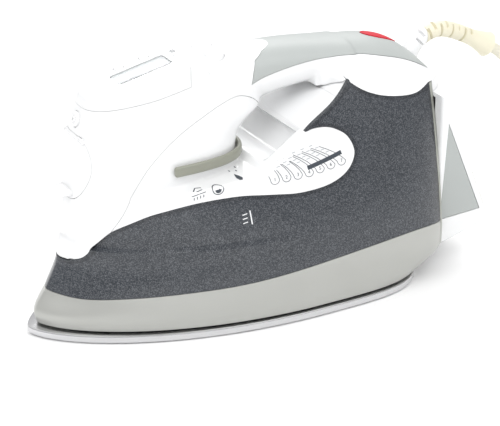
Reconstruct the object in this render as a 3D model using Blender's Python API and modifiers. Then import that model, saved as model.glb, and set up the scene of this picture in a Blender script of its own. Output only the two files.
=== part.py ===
"""Steam iron with digital controls: a pointed hull on a steel soleplate, with a handle loop above it.

Metres, +Z up, nose towards -X, heel towards +X. The origin is on the table, under the middle of the iron.
Stations along, across and up the iron are written in design millimetres measured from the nose tip, the
centre plane and the table. sx, sy and sz turn them into metres, so the three overall sizes stretch the
sculpted shapes, while walls, gaps, pins and bought-in parts keep their own sizes.
"""

import math

import bmesh
import bpy
from mathutils import Matrix, Vector

MM = 0.001

# Overall sizes
LENGTH = 288 * MM
WIDTH = 127 * MM
HEIGHT = 152 * MM

# Walls and clearances
WALL = 2.6 * MM
HANDLE_WALL = 2.8 * MM
GAP = 0.3 * MM
RUN = 0.4 * MM
NOSE_INSET = 1.9
FLAT_ENOUGH = 2.0

# Soleplate and steam chamber
SOLE_T = 5.2 * MM
SOLE_ROUND = 2.2 * MM
HOLE_R = 1.6 * MM
SHIELD_IN = 3.2 * MM
SHIELD_W = 8.0 * MM
SHIELD_GAP = 1.6 * MM
SHIELD_T = 4.5 * MM
CHAMBER_H = 13.5 * MM
CHAMBER_WALL = 4.0 * MM
CHAMBER_FLOOR = 3.5 * MM
ELEMENT_R = 3.2 * MM
COVER_T = 1.6 * MM
GASKET_T = 0.9 * MM
SCREW_R = 2.0 * MM
SCREW_HEAD_R = 3.6 * MM
SCREW_HEAD_T = 2.2 * MM

# Steam valve
ROD_R = 1.8 * MM
LEVER_H = 6.2 * MM
LEVER_T = 3.0 * MM
LEVER_TRAVEL = 14.0 * MM
TAB_W = 6.0 * MM
TAB_T = 3.0 * MM

# Fill door
DOOR_R = 19.8 * MM
HINGE_R = 1.3 * MM
PIN_R = 0.6 * MM
PIN_DEPTH = 0.6 * MM
NECK_R = 9.0 * MM
NECK_WALL = 1.5 * MM

# Display, buttons and pumps
WINDOW_L = 34.0 * MM
WINDOW_W = 15.4 * MM
WINDOW_DEEP = 1.2 * MM
THUMB_R = 6.0 * MM
THUMB_PROUD = 0.3 * MM
THUMB_TRAVEL = 2.5 * MM
KEY_R = 3.0 * MM
KEY_PROUD = 0.4 * MM
PUMP_R = 6.5 * MM
PUMP_L = 22.0 * MM
PLUNGER_R = 2.2 * MM
SPRING_WIRE = 0.45 * MM

# Cord
CORD_R = 3.5 * MM
BALL_R = 7.0 * MM
GUARD_R = 5.0 * MM
BELL_R = 8.0 * MM
COIL_MEAN_R = 40.0 * MM
COIL_SIDE = 21.5 * MM
TIE_T = 0.8 * MM
TIE_W = 9.0 * MM
BLADE_T = 1.5 * MM
BLADE_L = 16.0 * MM

# Rear
TRIM_T = 2.2 * MM
BRIDGE_DROP = 0.5 * MM

SKIRT_Z = SOLE_T + SHIELD_GAP

# Places, as stations
HEEL_TOP = 113.0
LEVER_Z = 96.4
VALVE_X = 110
THUMB_X = 117
PIN_Z = 116
DOOR_Z = 100
NOZZLE_Z = 125
LID_Z = 71.0
LID_T = 1.8 * MM


def sx(d):
    """Metres along X of the station d design millimetres behind the nose tip."""
    return LENGTH * (d / 288 - 0.5)


def sy(d):
    return WIDTH * d / 127


def sz(d):
    """Metres above the table of the station d. Everything above the soleplate rides on it."""
    return SKIRT_Z + (HEIGHT - SKIRT_Z) * (d - 6.8) / 145.2


def through(stations, at):
    """Smooth value at one place from (place, value) stations, without overshoot."""
    xs = [s[0] for s in stations]
    ys = [s[1] for s in stations]
    if at <= xs[0]:
        return ys[0]
    if at >= xs[-1]:
        return ys[-1]
    rise = [(ys[i + 1] - ys[i]) / (xs[i + 1] - xs[i]) for i in range(len(xs) - 1)]
    slope = [rise[0]]
    for a, b in zip(rise, rise[1:]):
        slope.append(0.0 if a * b <= 0 else 2 * a * b / (a + b))
    slope.append(rise[-1])
    i = max(k for k in range(len(xs) - 1) if xs[k] <= at)
    h = xs[i + 1] - xs[i]
    t = (at - xs[i]) / h
    return (
        ys[i] * (1 + 2 * t) * (1 - t) ** 2
        + ys[i + 1] * t * t * (3 - 2 * t)
        + h * slope[i] * t * (1 - t) ** 2
        + h * slope[i + 1] * t * t * (t - 1)
    )


def smooth(points, per=3, closed=False):
    """Points on a Catmull-Rom curve through the given ones."""
    count = len(points)
    found = []
    spans = count if closed else count - 1
    for i in range(spans):
        near = [points[(i + k) % count] if closed else points[min(max(i + k, 0), count - 1)] for k in (-1, 0, 1, 2)]
        a, b, c, d = (Vector(p) for p in near)
        for k in range(per):
            t = k / per
            found.append(
                0.5 * (2 * b + (c - a) * t + (2 * a - 5 * b + 4 * c - d) * t**2 + (3 * b - a - 3 * c + d) * t**3)
            )
    if not closed:
        found.append(Vector(points[-1]))
    return [tuple(p) for p in found]


# Outline of the heel from the side, its half width and the round of its edges.
HEEL_LINE = ((249.1, 15), (287.6, 25.2), (288, 27.5), (285.5, 35), (263, 88), (259.5, 100), (260.5, 113), (249.1, 113))
HEEL_HALF = 45.0
HEEL_ROUND = 2.4 * MM

# Middle of the cord's ball, and the runs of the bend guard and of the cord down to the table.
BALL = (249.5, 119.6)
GUARD_ROUTE = ((253.6, 124.2), (258.5, 130.6), (265, 135.4), (273, 137.6), (281, 136.6), (290, 133.2), (299, 128.8),
               (306, 125.2), (312.5, 121.6))
CORD_ROUTE = ((313.2, 0, 121.2), (322, 0, 115.5), (332, 1, 106), (340, 1, 92), (344, 1, 74), (346, 0, 54),
              (349, -3, 34), (356, -9, 16), (368, -18, 6.6), (382, -27, 3.75), (396, -34, 3.7))

# Middle of the coil on the table, and the run from it to the plug.
COIL = (417.0, 8.0)
TAIL_ROUTE = ((468.6, -14.0, 17), (474, -6, 14.4), (478.6, 2.6, 12.2), (481.4, 12, 10.7), (482, 22, 10))

# How far the saddle's shoulder leans in from the hull's side, from the tank's rim up to the lever.
SHOULDER_LEAN = ((80, 0), (84, 3.4), (88, 8.6), (92.9, 17))
SHOULDER_END = 132

# The red button in the grip, from end to end, and its half width.
POWER_FROM, POWER_TO = 219.5, 243.5
POWER_HALF = 6.2 * MM

# The hull: nose, half-width and bluntness of its level sections, from the skirt up to the shoulders.
HULL_NOSE = ((6.8, 5.6), (12, 4.4), (26, 12), (45, 20), (53, 20.6), (55, 28.5), (80, 30), (131, 36))
HULL_HALF = ((6.8, 62), (14, 63.2), (30, 63.5), (46, 61), (60, 58), (77, 53.5), (100, 47), (118, 40.6), (133, 33))
HULL_BLUNT = ((6.8, 1.333), (45, 1.333), (60, 1.1), (90, 0.9))
HULL_WIDEST = 160
HULL_REAR = ((6.8, 240), (22, 262), (133, 262))


def hull_sizes(z, inset):
    nose = sx(through(HULL_NOSE, z)) + NOSE_INSET * inset
    rear = sx(through(HULL_REAR, z)) - inset
    return nose, rear, sy(through(HULL_HALF, z)) - inset, through(HULL_BLUNT, z)


def hull_half_width(x, z):
    """Half-width in metres of the hull at a station along it and a station up it."""
    nose, rear, half, blunt = hull_sizes(z, 0)
    widest = sx(HULL_WIDEST)
    if sx(x) < widest:
        reach = (widest - sx(x)) / (widest - nose)
        return half * max(1 - reach**2, 0) ** (blunt / 2)
    reach = (sx(x) - widest) / (rear - widest)
    return half * max(1 - reach**4, 0) ** 0.25


def pointed_ring(nose, rear, half, blunt, widest, z, front=10, back=6):
    """A level outline, pointed at the nose and square-shouldered at the rear."""
    side = []
    for k in range(front):
        turn = math.pi / 2 * k / front
        side.append((widest - (widest - nose) * math.cos(turn), half * math.sin(turn) ** blunt))
    for k in range(back + 1):
        turn = math.pi / 2 * (1 - k / back)
        r = (math.cos(turn) ** 4 + math.sin(turn) ** 4) ** -0.25
        side.append((widest + (rear - widest) * r * math.cos(turn), half * r * math.sin(turn)))
    near = [(x, -y, z) for x, y in side]
    far = [(x, y, z) for x, y in side[-2:0:-1]]
    return near + far


def hull_ring(z, inset=0.0, up=0.0):
    nose, rear, half, blunt = hull_sizes(z, inset)
    return pointed_ring(nose, rear, half, blunt, sx(HULL_WIDEST), sz(z) + up)


# The column in front of the handle opening: front, rear and half-width of its level sections.
COLUMN_FRONT = ((50, 29), (56, 27), (77, 28), (88, 27.6), (104, 30.5), (120, 34), (132, 37.5), (156, 45))
COLUMN_REAR = ((50, 118), (90, 128), (100, 128.5), (108, 131), (114, 138), (120, 146), (156, 150))
COLUMN_HALF = ((50, 25), (77, 29), (92, 31.5), (104, 30.5), (120, 27), (134, 23.5), (156, 20.5))


def column_ring(z, inset=0.0, count=28):
    front = sx(through(COLUMN_FRONT, z)) + inset
    rear = sx(through(COLUMN_REAR, z)) - inset
    half = sy(through(COLUMN_HALF, z)) - inset
    return oval_ring((front + rear) / 2, 0, sz(z), (rear - front) / 2, half, 3, count)


def oval_ring(x, y, z, a, b, power, count):
    """A level superellipse, running so that a loft up through it faces out."""
    ring = []
    for k in range(count):
        turn = math.pi + math.tau * k / count
        c, s = math.cos(turn), math.sin(turn)
        r = (abs(c) ** power + abs(s) ** power) ** (-1 / power)
        ring.append((x + a * r * c, y + b * r * s, z))
    return ring


# The handle: top, bottom and half-width of its upright sections.
HANDLE_TOP = ((98, 151.4), (112, 152), (125, 152), (149, 150.6), (166, 149.8), (198, 146.4),
              (219, 144.2), (228, 142.2), (236, 139.4), (246, 133.4), (252, 127.8), (258, 119.8))
HANDLE_BOTTOM = ((98, 120), (118, 118), (132, 117.6), (145, 119.6), (160, 122.4), (180, 124), (200, 124))
HANDLE_HALF = ((98, 21.5), (130, 20), (150, 19.4), (185, 19.8), (205, 21.5), (225, 23), (246, 23), (258, 21))

# The handle's root flares down to meet the tank along this seam.
SEAM_TOP = ((176, 127), (182, 129), (186, 130.4), (190.5, 129.6), (196, 125.4), (203, 121.8), (212, 118.8), (224, 116.6),
            (236, 116.2), (247, 119.2), (258, 120.5))


ROOT_LOW = ((176, 124.3), (183, 124.2), (188, 125), (193, 119.6), (198, 115.5), (212, 109.8), (224, 107.6),
            (236, 107.2), (247, 110.2), (258, 111.5))
ROOT_FLARE = ((180, 0.0), (184, 0.15), (188, 0.7), (191, 1.0))


def handle_section(x, inset=0.0, count=20):
    top, bottom = sz(through(HANDLE_TOP, x)) - inset, sz(through(HANDLE_BOTTOM, x)) + inset
    half = sy(through(HANDLE_HALF, x)) - inset
    ring = []
    for k in range(count):
        turn = math.tau * k / count
        c, s = math.cos(turn), math.sin(turn)
        r = (abs(c) ** 2.3 + abs(s) ** 2.3) ** (-1 / 2.3)
        ring.append((sx(x), half * r * s, (top + bottom) / 2 + (top - bottom) / 2 * r * c))
    return ring


def root_section(x, inset=0.0, steps=4):
    """One upright section of the flared root: a rounded crown, a hollow flank and a skirt inside the tank."""
    top = sz(through(HANDLE_TOP, x)) - inset
    crown = min(14 * MM, (top - sz(through(SEAM_TOP, x))) * 0.55)
    waist = top + inset - crown
    half = sy(through(HANDLE_HALF, x)) - inset
    seam = sz(through(SEAM_TOP, x)) + 1.0 * MM - inset
    flare = through(ROOT_FLARE, x)
    edge = half + (hull_half_width(x, through(SEAM_TOP, x)) - inset - half) * flare
    side = []
    for k in range(steps):
        turn = math.pi / 2 * k / steps
        side.append((half * math.sin(turn), waist + (top - waist) * math.cos(turn)))
    for k in range(steps + 1):
        turn = math.pi / 2 * k / steps
        side.append((half + (edge - half) * (1 - math.cos(turn)), waist - (waist - seam) * math.sin(turn)))
    low = through(ROOT_LOW, x)
    side.append((half + (hull_half_width(x, low) - inset - half) * flare, sz(low)))
    right = [(sx(x), y, z) for y, z in side]
    left = [(sx(x), -y, z) for y, z in side[:0:-1]]
    return right + left


def collection(name, hidden=False):
    made = bpy.data.collections.new(name)
    made.hide_render = hidden
    bpy.context.scene.collection.children.link(made)
    return made


def clear():
    for old in list(bpy.data.objects):
        bpy.data.objects.remove(old)


def material(name, colour, roughness, metallic=0.0, transmission=0.0):
    made = bpy.data.materials.new(name)
    made.use_nodes = True
    shader = made.node_tree.nodes["Principled BSDF"]
    shader.inputs["Base Color"].default_value = (*colour, 1)
    shader.inputs["Roughness"].default_value = roughness
    shader.inputs["Metallic"].default_value = metallic
    shader.inputs["Transmission Weight"].default_value = transmission
    made.diffuse_color = (*colour, 1)
    return made


def keep(name, mesh, finish=None):
    """An object of this mesh: a part when it has a finish, and otherwise a cutter."""
    obj = bpy.data.objects.new(name, mesh)
    if finish is None:
        group = CUTTERS
        obj.display_type = "WIRE"
        obj.hide_render = True
    else:
        group = PARTS
        mesh.materials.clear()
        mesh.materials.append(finish)
    group.objects.link(obj)
    return obj


def from_bmesh(name, bm, finish=None):
    bmesh.ops.recalc_face_normals(bm, faces=bm.faces)
    mesh = bpy.data.meshes.new(name)
    bm.to_mesh(mesh)
    bm.free()
    return keep(name, mesh, finish)


def loft(name, rings, finish=None):
    """A closed solid through rings of equal count."""
    bm = bmesh.new()
    rows = [[bm.verts.new(p) for p in ring] for ring in rings]
    count = len(rings[0])
    sides = []
    for low, high in zip(rows, rows[1:]):
        for k in range(count):
            sides.append(bm.faces.new((low[k], low[(k + 1) % count], high[(k + 1) % count], high[k])))
    bmesh.ops.triangulate(bm, faces=sides)
    bm.faces.new(rows[0][::-1])
    bm.faces.new(rows[-1])
    return from_bmesh(name, bm, finish)


def prism(name, outline, y0, y1, finish=None):
    """An outline in X and Z, carried across from y0 to y1."""
    curve = bpy.data.curves.new(name, "CURVE")
    curve.dimensions = "2D"
    curve.fill_mode = "BOTH"
    curve.extrude = (y1 - y0) / 2
    spline = curve.splines.new("POLY")
    spline.points.add(len(outline) - 1)
    for point, (x, z) in zip(spline.points, outline):
        point.co = (x, z, 0, 1)
    spline.use_cyclic_u = True
    obj = bpy.data.objects.new(name + "_outline", curve)
    obj.matrix_world = Matrix.Translation((0, (y0 + y1) / 2, 0)) @ Matrix.Rotation(math.pi / 2, 4, "X")
    return meshed(name, obj, finish)


def slab(name, outline, z0, z1, finish=None):
    """An outline in X and Y, carried up from z0 to z1."""
    return loft(name, [[(x, y, z) for x, y in outline] for z in (z0, z1)], finish)


def meshed(name, obj, finish=None):
    """The mesh of a curve object, with its caps joined on, in the curve's place."""
    bpy.context.scene.collection.objects.link(obj)
    bpy.context.view_layer.update()
    graph = bpy.context.evaluated_depsgraph_get()
    mesh = bpy.data.meshes.new_from_object(obj.evaluated_get(graph))
    mesh.transform(obj.matrix_world)
    data = obj.data
    bpy.data.objects.remove(obj)
    bpy.data.curves.remove(data)
    bm = bmesh.new()
    bm.from_mesh(mesh)
    bpy.data.meshes.remove(mesh)
    bmesh.ops.remove_doubles(bm, verts=bm.verts, dist=1e-6)
    return from_bmesh(name, bm, finish)


def tube(name, points, radius, finish=None, resolution=2, cyclic=False):
    """A round bar along points."""
    curve = bpy.data.curves.new(name, "CURVE")
    curve.dimensions = "3D"
    curve.bevel_depth = radius
    curve.bevel_resolution = resolution
    curve.use_fill_caps = not cyclic
    spline = curve.splines.new("POLY")
    spline.points.add(len(points) - 1)
    for point, place in zip(spline.points, points):
        point.co = (*place, 1)
    spline.use_cyclic_u = cyclic
    return meshed(name, bpy.data.objects.new(name + "_line", curve), finish)


def box(name, low, high, finish=None):
    bm = bmesh.new()
    bmesh.ops.create_cube(bm, size=1)
    centre = [(a + b) / 2 for a, b in zip(low, high)]
    bmesh.ops.scale(bm, vec=[b - a for a, b in zip(low, high)], verts=bm.verts)
    bmesh.ops.translate(bm, vec=centre, verts=bm.verts)
    return from_bmesh(name, bm, finish)


def rod(name, start, end, radius, finish=None, sides=20, tip=None):
    """A round bar or cone from start to end."""
    start, end = Vector(start), Vector(end)
    bm = bmesh.new()
    bmesh.ops.create_cone(
        bm, cap_ends=True, segments=sides, radius1=radius, radius2=radius if tip is None else tip,
        depth=(end - start).length,
    )
    turn = Vector((0, 0, 1)).rotation_difference(end - start).to_matrix().to_4x4()
    bm.transform(Matrix.Translation((start + end) / 2) @ turn)
    return from_bmesh(name, bm, finish)


def turned(name, profile, start, direction, finish=None, steps=28):
    """A closed (radius, height) profile turned about an axis through start."""
    mesh = bpy.data.meshes.new(name)
    closed = profile[0][0] > 0
    count = len(profile)
    edges = [(k, k + 1) for k in range(count - 1)] + ([(count - 1, 0)] if closed else [])
    mesh.from_pydata([(r, 0, h) for r, h in profile], edges, [])
    obj = bpy.data.objects.new(name, mesh)
    bpy.context.scene.collection.objects.link(obj)
    screw = obj.modifiers.new("turn", "SCREW")
    screw.steps = steps
    screw.render_steps = steps
    screw.use_merge_vertices = True
    screw.merge_threshold = 0.00001
    bpy.context.view_layer.update()
    made = bpy.data.meshes.new_from_object(obj.evaluated_get(bpy.context.evaluated_depsgraph_get()))
    bpy.data.objects.remove(obj)
    bpy.data.meshes.remove(mesh)
    bm = bmesh.new()
    bm.from_mesh(made)
    bpy.data.meshes.remove(made)
    bmesh.ops.remove_doubles(bm, verts=bm.verts, dist=1e-6)
    turn = Vector((0, 0, 1)).rotation_difference(Vector(direction)).to_matrix().to_4x4()
    bm.transform(Matrix.Translation(start) @ turn)
    return from_bmesh(name, bm, finish)


def combine(target, other, how):
    """Target with other joined, cut away or kept in common, as one new mesh."""
    step = target.modifiers.new("step", "BOOLEAN")
    step.operation = how
    step.object = other
    step.solver = "EXACT"
    bpy.context.view_layer.update()
    made = bpy.data.meshes.new_from_object(target.evaluated_get(bpy.context.evaluated_depsgraph_get()))
    target.modifiers.clear()
    old = target.data
    target.data = made
    bpy.data.meshes.remove(old)
    return target


def join(target, *others):
    for other in others:
        combine(target, other, "UNION")
    return target


def cut(target, *others):
    for other in others:
        combine(target, other, "DIFFERENCE")
    return target


def common(target, *others):
    for other in others:
        combine(target, other, "INTERSECT")
    return target


def simplified(obj, angle):
    """Merges faces that lie within an angle of one plane."""
    bm = bmesh.new()
    bm.from_mesh(obj.data)
    bmesh.ops.dissolve_limit(bm, angle_limit=math.radians(angle), verts=bm.verts, edges=bm.edges)
    bmesh.ops.triangulate(bm, faces=bm.faces)
    bm.to_mesh(obj.data)
    bm.free()


def origin_at(name, place):
    """Puts a part's origin at a place, with its shape where it was."""
    obj = bpy.data.objects[name]
    obj.data.transform(Matrix.Translation(-Vector(place)))
    obj.location = place


def piece(name, source, finish):
    """A copy of a solid as a part of its own."""
    return keep(name, source.data.copy(), finish)


def stations(points):
    return [(sx(x), sz(z)) for x, z in points]


def grown(outline, by):
    """A closed outline moved out by a distance, or in when it is negative."""
    count = len(outline)
    area = sum(
        outline[k][0] * outline[(k + 1) % count][1] - outline[(k + 1) % count][0] * outline[k][1] for k in range(count)
    )
    sign = 1 if area > 0 else -1
    moved = []
    for k in range(count):
        a, b, c = (Vector(outline[(k + i) % count]) for i in (-1, 0, 1))
        n1 = Vector(((b - a).y, -(b - a).x)).normalized() * sign
        n2 = Vector(((c - b).y, -(c - b).x)).normalized() * sign
        mid = (n1 + n2).normalized()
        moved.append(tuple(b + mid * by / max(mid.dot(n1), 0.5)))
    return moved


# Seams, as side views in stations (along, up)
SKIRT_SEAM = ((-6, 27.2), (12, 26.4), (27, 25.4), (50, 27), (79, 29), (112, 30.8), (162, 35.2), (219, 39), (250, 36.4))
TANK_FRONT = ((19, 45.4), (23, 44.6), (29, 48), (34, 55), (43.5, 64.5), (55, 71.4), (66, 75.7), (87, 79.8),
              (110, 80.8), (131, 78.6), (148, 76.8), (167, 78), (180, 83.4), (186, 92.5), (183, 102), (176, 107.4),
              (169, 109.8), (161.5, 110.2))
SADDLE_TOP = ((128, 90), (134, 94), (144, 101), (154, 108), (162, 112.9), (174, 119), (182, 124), (190.5, 131))
FRONT_SEAM = ((44, 66), (49, 75), (55, 88), (62, 98), (70, 105.6), (80, 112.6), (90, 118), (100, 122.4), (112, 127),
              (124, 129.4), (134, 126), (141, 120), (150, 112))
PANEL_SEAM = ((30, 131), (38, 132.6), (46, 133.4), (58, 134.6), (76, 136.6), (95, 140.2))
GRIP_SEAM = ((135, 133.6), (144, 136.6), (165, 140), (186, 140.8), (208, 139), (230, 133.8), (243.5, 128.8), (256, 122))
REAR_CUT = 246.5


def skirt_outline(trim=0.0):
    """Side view of the skirt band, its top edge lowered by trim."""
    top = [(x, z - trim) for x, z in stations(smooth(SKIRT_SEAM))]
    rear = sx(REAR_CUT)
    top = [p for p in top if p[0] < rear] + [(rear, top[-1][1] + 0.4 * MM)]
    return [(sx(-8), SKIRT_Z), *top, (rear, sz(21)), (sx(238), SKIRT_Z)]


def tank_outline():
    """Side view of the water tank: skirt seam, rear, root seam, slope and the tongue of the saddle cover."""
    rear = sx(REAR_CUT)
    low = [p for p in stations(smooth(SKIRT_SEAM)) if p[0] < rear]
    root = [p for p in stations(smooth(SEAM_TOP[3:])) if sx(190.5) < p[0] < rear]
    slope = [p for p in stations(smooth(SADDLE_TOP)) if sx(162) < p[0]]
    tongue = stations(smooth(TANK_FRONT))
    return low + [(rear, low[-1][1]), (rear, root[-1][1] + 0.2 * MM)] + root[::-1] + slope[::-1] + tongue[::-1] + [
        (sx(-6), sz(45))]


def front_seam():
    return stations(smooth(FRONT_SEAM))


# Side views of the white mouldings
PANEL_TOP = ((20, 134.1), (104, 153.2))
SHOULDER = ((-10, 80), (28, 81), (60, 84), (100, 87.5), (128, 90))


def shoulder(name, inset):
    """The leaning shoulder of the saddle, between the hull's side and the column beside the lever."""
    levels = (76, 80, 84, 88, 92.9) if not inset else (72, 77, 81, 85, 89.5)
    shift = 0 if not inset else 3.4
    made = loft(name, [hull_ring(z, inset + through(SHOULDER_LEAN, z + shift) * MM) for z in levels])
    end = [(sx(-10), sz(70)), (sx(SHOULDER_END), sz(70)), (sx(SHOULDER_END), sz(96)), (sx(-10), sz(96))]
    return common(made, side_cut(name + "_end", end))


def white_outline(drop=0.0):
    """Side view of the hull above the tank: the saddle and the foot of the front housing."""
    top = stations(SHOULDER) + stations(smooth(SADDLE_TOP[1:6])) + stations([(192, 119)])
    return [(sx(-10), sz(40)), *[(x, z - drop) for x, z in top], (sx(192), sz(70))]


def above_column(drop=0.0):
    """Side view of what is cut off over the column: the panel's slope, then down inside the handle."""
    line = stations([*PANEL_TOP, (108, 144), (120, 138), (150, 128), (162, 118)])
    return [(x, z - drop) for x, z in line] + [(sx(162), sz(190)), (sx(20), sz(190))]


def side_cut(name, outline):
    return prism(name, outline, -WIDTH, WIDTH)


def hull(name, levels, inset=0.0):
    return loft(name, [hull_ring(z, inset) for z in levels])


def column(name, inset=0.0):
    made = loft(name, [column_ring(z, inset) for z in (50, 78, 92, 104, 114, 124, 138, 156)])
    return cut(made, side_cut(name + "_top", above_column(inset)))


def handle(name, inset=0.0):
    rows = (98, 118, 134, 150, 166, 184, 204)
    return loft(name, [handle_section(x, inset) for x in rows])


def root(name, inset=0.0):
    rows = (177, 182, 186, 190, 197, 206, 217, 228, 239, 249, 258)
    if inset:
        rows = (179, *rows[1:-1], 255.5)
    return loft(name, [root_section(x, inset) for x in rows])


def lever_well(inset):
    """The level hollow in the saddle behind the column, where the lever slides."""
    rear = sx(through(COLUMN_REAR, LEVER_Z))
    floor = sz(LEVER_Z) - LEVER_H / 2 - RUN - inset
    end = rear + RUN + LEVER_T + LEVER_TRAVEL + 1.5 * MM + inset / 2
    outline = [(rear - 30 * MM, floor), (end, floor), (end + 10 * MM, floor + 9 * MM),
               (end + 18 * MM, floor + 40 * MM), (rear - 30 * MM, floor + 40 * MM)]
    half = sy(through(COLUMN_HALF, LEVER_Z)) + RUN + LEVER_T + 1.5 * MM + inset
    return prism("well", outline, -half, half)


def white_solid(name, inset=0.0):
    """The whole white upper before it is split: saddle, column, handle and root in one."""
    base = hull(name, (38, 46, 53, 55, 72, 92, 122), inset)
    common(base, side_cut(name + "_base", white_outline(inset)))
    join(base, shoulder(name + "_shoulder", inset))
    cut(base, lever_well(inset))
    return join(base, column(name + "_column", inset), handle(name + "_handle", inset), root(name + "_root", inset))


def bridge():
    """The saddle's top between the tank's sides, rising behind its tongue to the root of the handle."""
    top = [(x, z - BRIDGE_DROP) for x, z in stations(smooth(SADDLE_TOP[3:])) + stations([(197, 134)])]
    under = [(x + 1.4 * HANDLE_WALL, z - 1.4 * HANDLE_WALL) for x, z in top]
    made = hull("bridge", (95, 110, 134), WALL + GAP)
    return common(made, side_cut("bridge_band", top + under[::-1]))


def panel_region(by=0.0):
    seam = stations(smooth(PANEL_SEAM))
    outline = [(sx(15), sz(130.5)), *seam, (sx(103.5), sz(156)), (sx(103.5), sz(170)), (sx(15), sz(170))]
    return side_cut("panel_region", grown(outline, by))


def saddle_region(by=0.0):
    outline = front_seam() + stations([(153, 117), (175, 121.4), (184, 123.2), (189, 119), (189, 35), (30, 35)])
    return side_cut("saddle_region", grown(outline, by))


def grip_region(by=0.0):
    front = stations(((135, 133.6), (136.5, 140), (139, 145.6), (144, 149.6), (151, 156), (151, 175)))
    seam = stations(smooth(GRIP_SEAM))
    outline = front[:0:-1] + seam + stations([(262, 122), (262, 175)])
    return side_cut("grip_region", grown(outline, by))


def soleplate():
    """A flat steel sole with a rounded lower rim and rings of steam holes."""
    rows = []
    for turn in (0, 30, 60, 90):
        inset = SOLE_ROUND * (1 - math.sin(math.radians(turn)))
        rows.append((inset, SOLE_ROUND * (1 - math.cos(math.radians(turn)))))
    rows.append((0.0, SOLE_T - 0.6 * MM))
    rows.append((0.6 * MM, SOLE_T))
    rings = [
        pointed_ring(sx(0) + 1.4 * inset, sx(239.5) - inset, sy(63.5) - inset, 1.333, sx(HULL_WIDEST), up, 14, 8)
        for inset, up in rows
    ]
    made = loft("soleplate", rings, STEEL)
    for k, (x, y) in enumerate(steam_holes()):
        cut(made, rod(f"steam_hole_{k}", (x, y, -MM), (x, y, SOLE_T + MM), HOLE_R, sides=8))
    return made


def steam_holes():
    """Holes in a V along both edges, closest together at the nose."""
    found = [(sx(24), 0.0)]
    for k in range(7):
        along = 38 + 17 * k
        reach = (HULL_WIDEST - along) / HULL_WIDEST
        y = (sy(63.5) - 13 * MM) * (1 - reach**2) ** 0.667
        found += [(sx(along), -y), (sx(along), y)]
    return found


def casting_ring(inset, z):
    """Level outline of the casting, which fills the hole of the heat shield with clearance."""
    back = SHIELD_IN + SHIELD_W + 2 * GAP + inset
    return pointed_ring(sx(5.6) + NOSE_INSET * back, sx(236) - SHIELD_W * 0.7 - SHIELD_IN - 2 * GAP - inset,
                        sy(62) - back, 1.3, sx(HULL_WIDEST), z, 12, 8)


def chamber():
    """The cast chamber on the sole: a tray for the steam, the heater that lies in it, its gasket and its cover."""
    low = SOLE_T + GAP
    top = low + CHAMBER_H
    body = loft("steam_chamber", [casting_ring(0, low), casting_ring(0, top)], CAST)
    floor = low + 1.5 * MM + CHAMBER_FLOOR
    tray = loft("tray", [casting_ring(CHAMBER_WALL, floor), casting_ring(CHAMBER_WALL, top + MM)])
    duct = loft("duct", [casting_ring(3.2 * MM, low - MM), casting_ring(3.2 * MM, low + 1.5 * MM)])
    boss = rod("boss", (sx(VALVE_X), 0, floor - MM), (sx(VALVE_X), 0, floor + 4 * MM), 7 * MM)
    ports = [rod("port", (sx(VALVE_X), y, low), (sx(VALVE_X), y, floor + MM), 2.5 * MM, sides=12) for y in (-22 * MM, 22 * MM)]
    cut(body, tray, duct)
    join(body, boss)
    cut(body, *ports)
    lane = [Vector(p) for p in casting_ring(CHAMBER_WALL + ELEMENT_R + 3 * MM, floor + ELEMENT_R + 0.6 * MM)]
    nose, rear = min(p.x for p in lane) + 9 * MM, max(p.x for p in lane) - 14 * MM
    near = sorted((p for p in lane if p.y < 0 and nose < p.x < rear), key=lambda p: -p.x)
    bend = [Vector((nose - 3 * MM, 0, lane[0].z))]
    far = [Vector((p.x, -p.y, p.z)) for p in near[::-1]]
    tube("heating_element", smooth(near + bend + far, 1), ELEMENT_R, DARK_STEEL, 2)
    z = top + GAP
    gasket = loft("chamber_gasket", [casting_ring(0.4 * MM, z), casting_ring(0.4 * MM, z + GASKET_T)], SILICONE)
    cut(gasket, loft("gasket_hole", [casting_ring(CHAMBER_WALL, z - MM), casting_ring(CHAMBER_WALL, z + 2 * MM)]))
    z += GASKET_T + GAP
    cover = loft("chamber_cover", [casting_ring(0.4 * MM, z), casting_ring(0.4 * MM, z + COVER_T)], DULL_STEEL)
    cut(cover, rod("valve_hole", (sx(VALVE_X), 0, z - MM), (sx(VALVE_X), 0, z + 3 * MM), ROD_R + RUN))
    fuse_z = z + COVER_T + GAP
    rod("thermal_fuse", (sx(176), -9 * MM, fuse_z + 3 * MM), (sx(176), 9 * MM, fuse_z + 3 * MM), 3 * MM, BRASS, 16)
    rod("temperature_sensor", (sx(150), 0, fuse_z), (sx(150), 0, fuse_z + 3.6 * MM), 5 * MM, BRASS, 18)
    return fuse_z


def heat_shield():
    """The black heat-proof frame between the sole and the skirt, seen only as the dark line around the sole."""
    low = SOLE_T + GAP
    sizes = (sx(5.6) + NOSE_INSET * SHIELD_IN, sx(236) - SHIELD_IN, sy(62) - SHIELD_IN)
    rings = [pointed_ring(*sizes, 1.333, sx(HULL_WIDEST), z, 12, 8) for z in (low, low + SHIELD_T)]
    made = loft("heat_shield", rings, BLACK)
    w = SHIELD_W
    hole = [pointed_ring(sizes[0] + NOSE_INSET * w, sizes[1] - w * 0.7, sizes[2] - w, 1.3, sx(HULL_WIDEST), z, 12, 8)
            for z in (low - MM, low + SHIELD_T + MM)]
    cut(made, loft("shield_hole", hole))
    return made


def skirt():
    made = hull("skirt", (6.8, 12, 26, 44), 0)
    made = finished(made, SILVER)
    common(made, side_cut("skirt_band", skirt_outline(GAP)))
    inner = hull("skirt_inner", (-2, 6.8, 12, 26, 50), WALL)
    rear = sx(REAR_CUT) - WALL
    slant = sx(238) - WALL * 1.3
    outline = [(sx(-20), -5 * MM), (sx(-20), sz(60)), (rear, sz(60)), (rear, sz(22)), (slant, SKIRT_Z), (slant, -5 * MM)]
    common(inner, side_cut("skirt_inner_rear", outline))
    return cut(made, inner)


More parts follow.
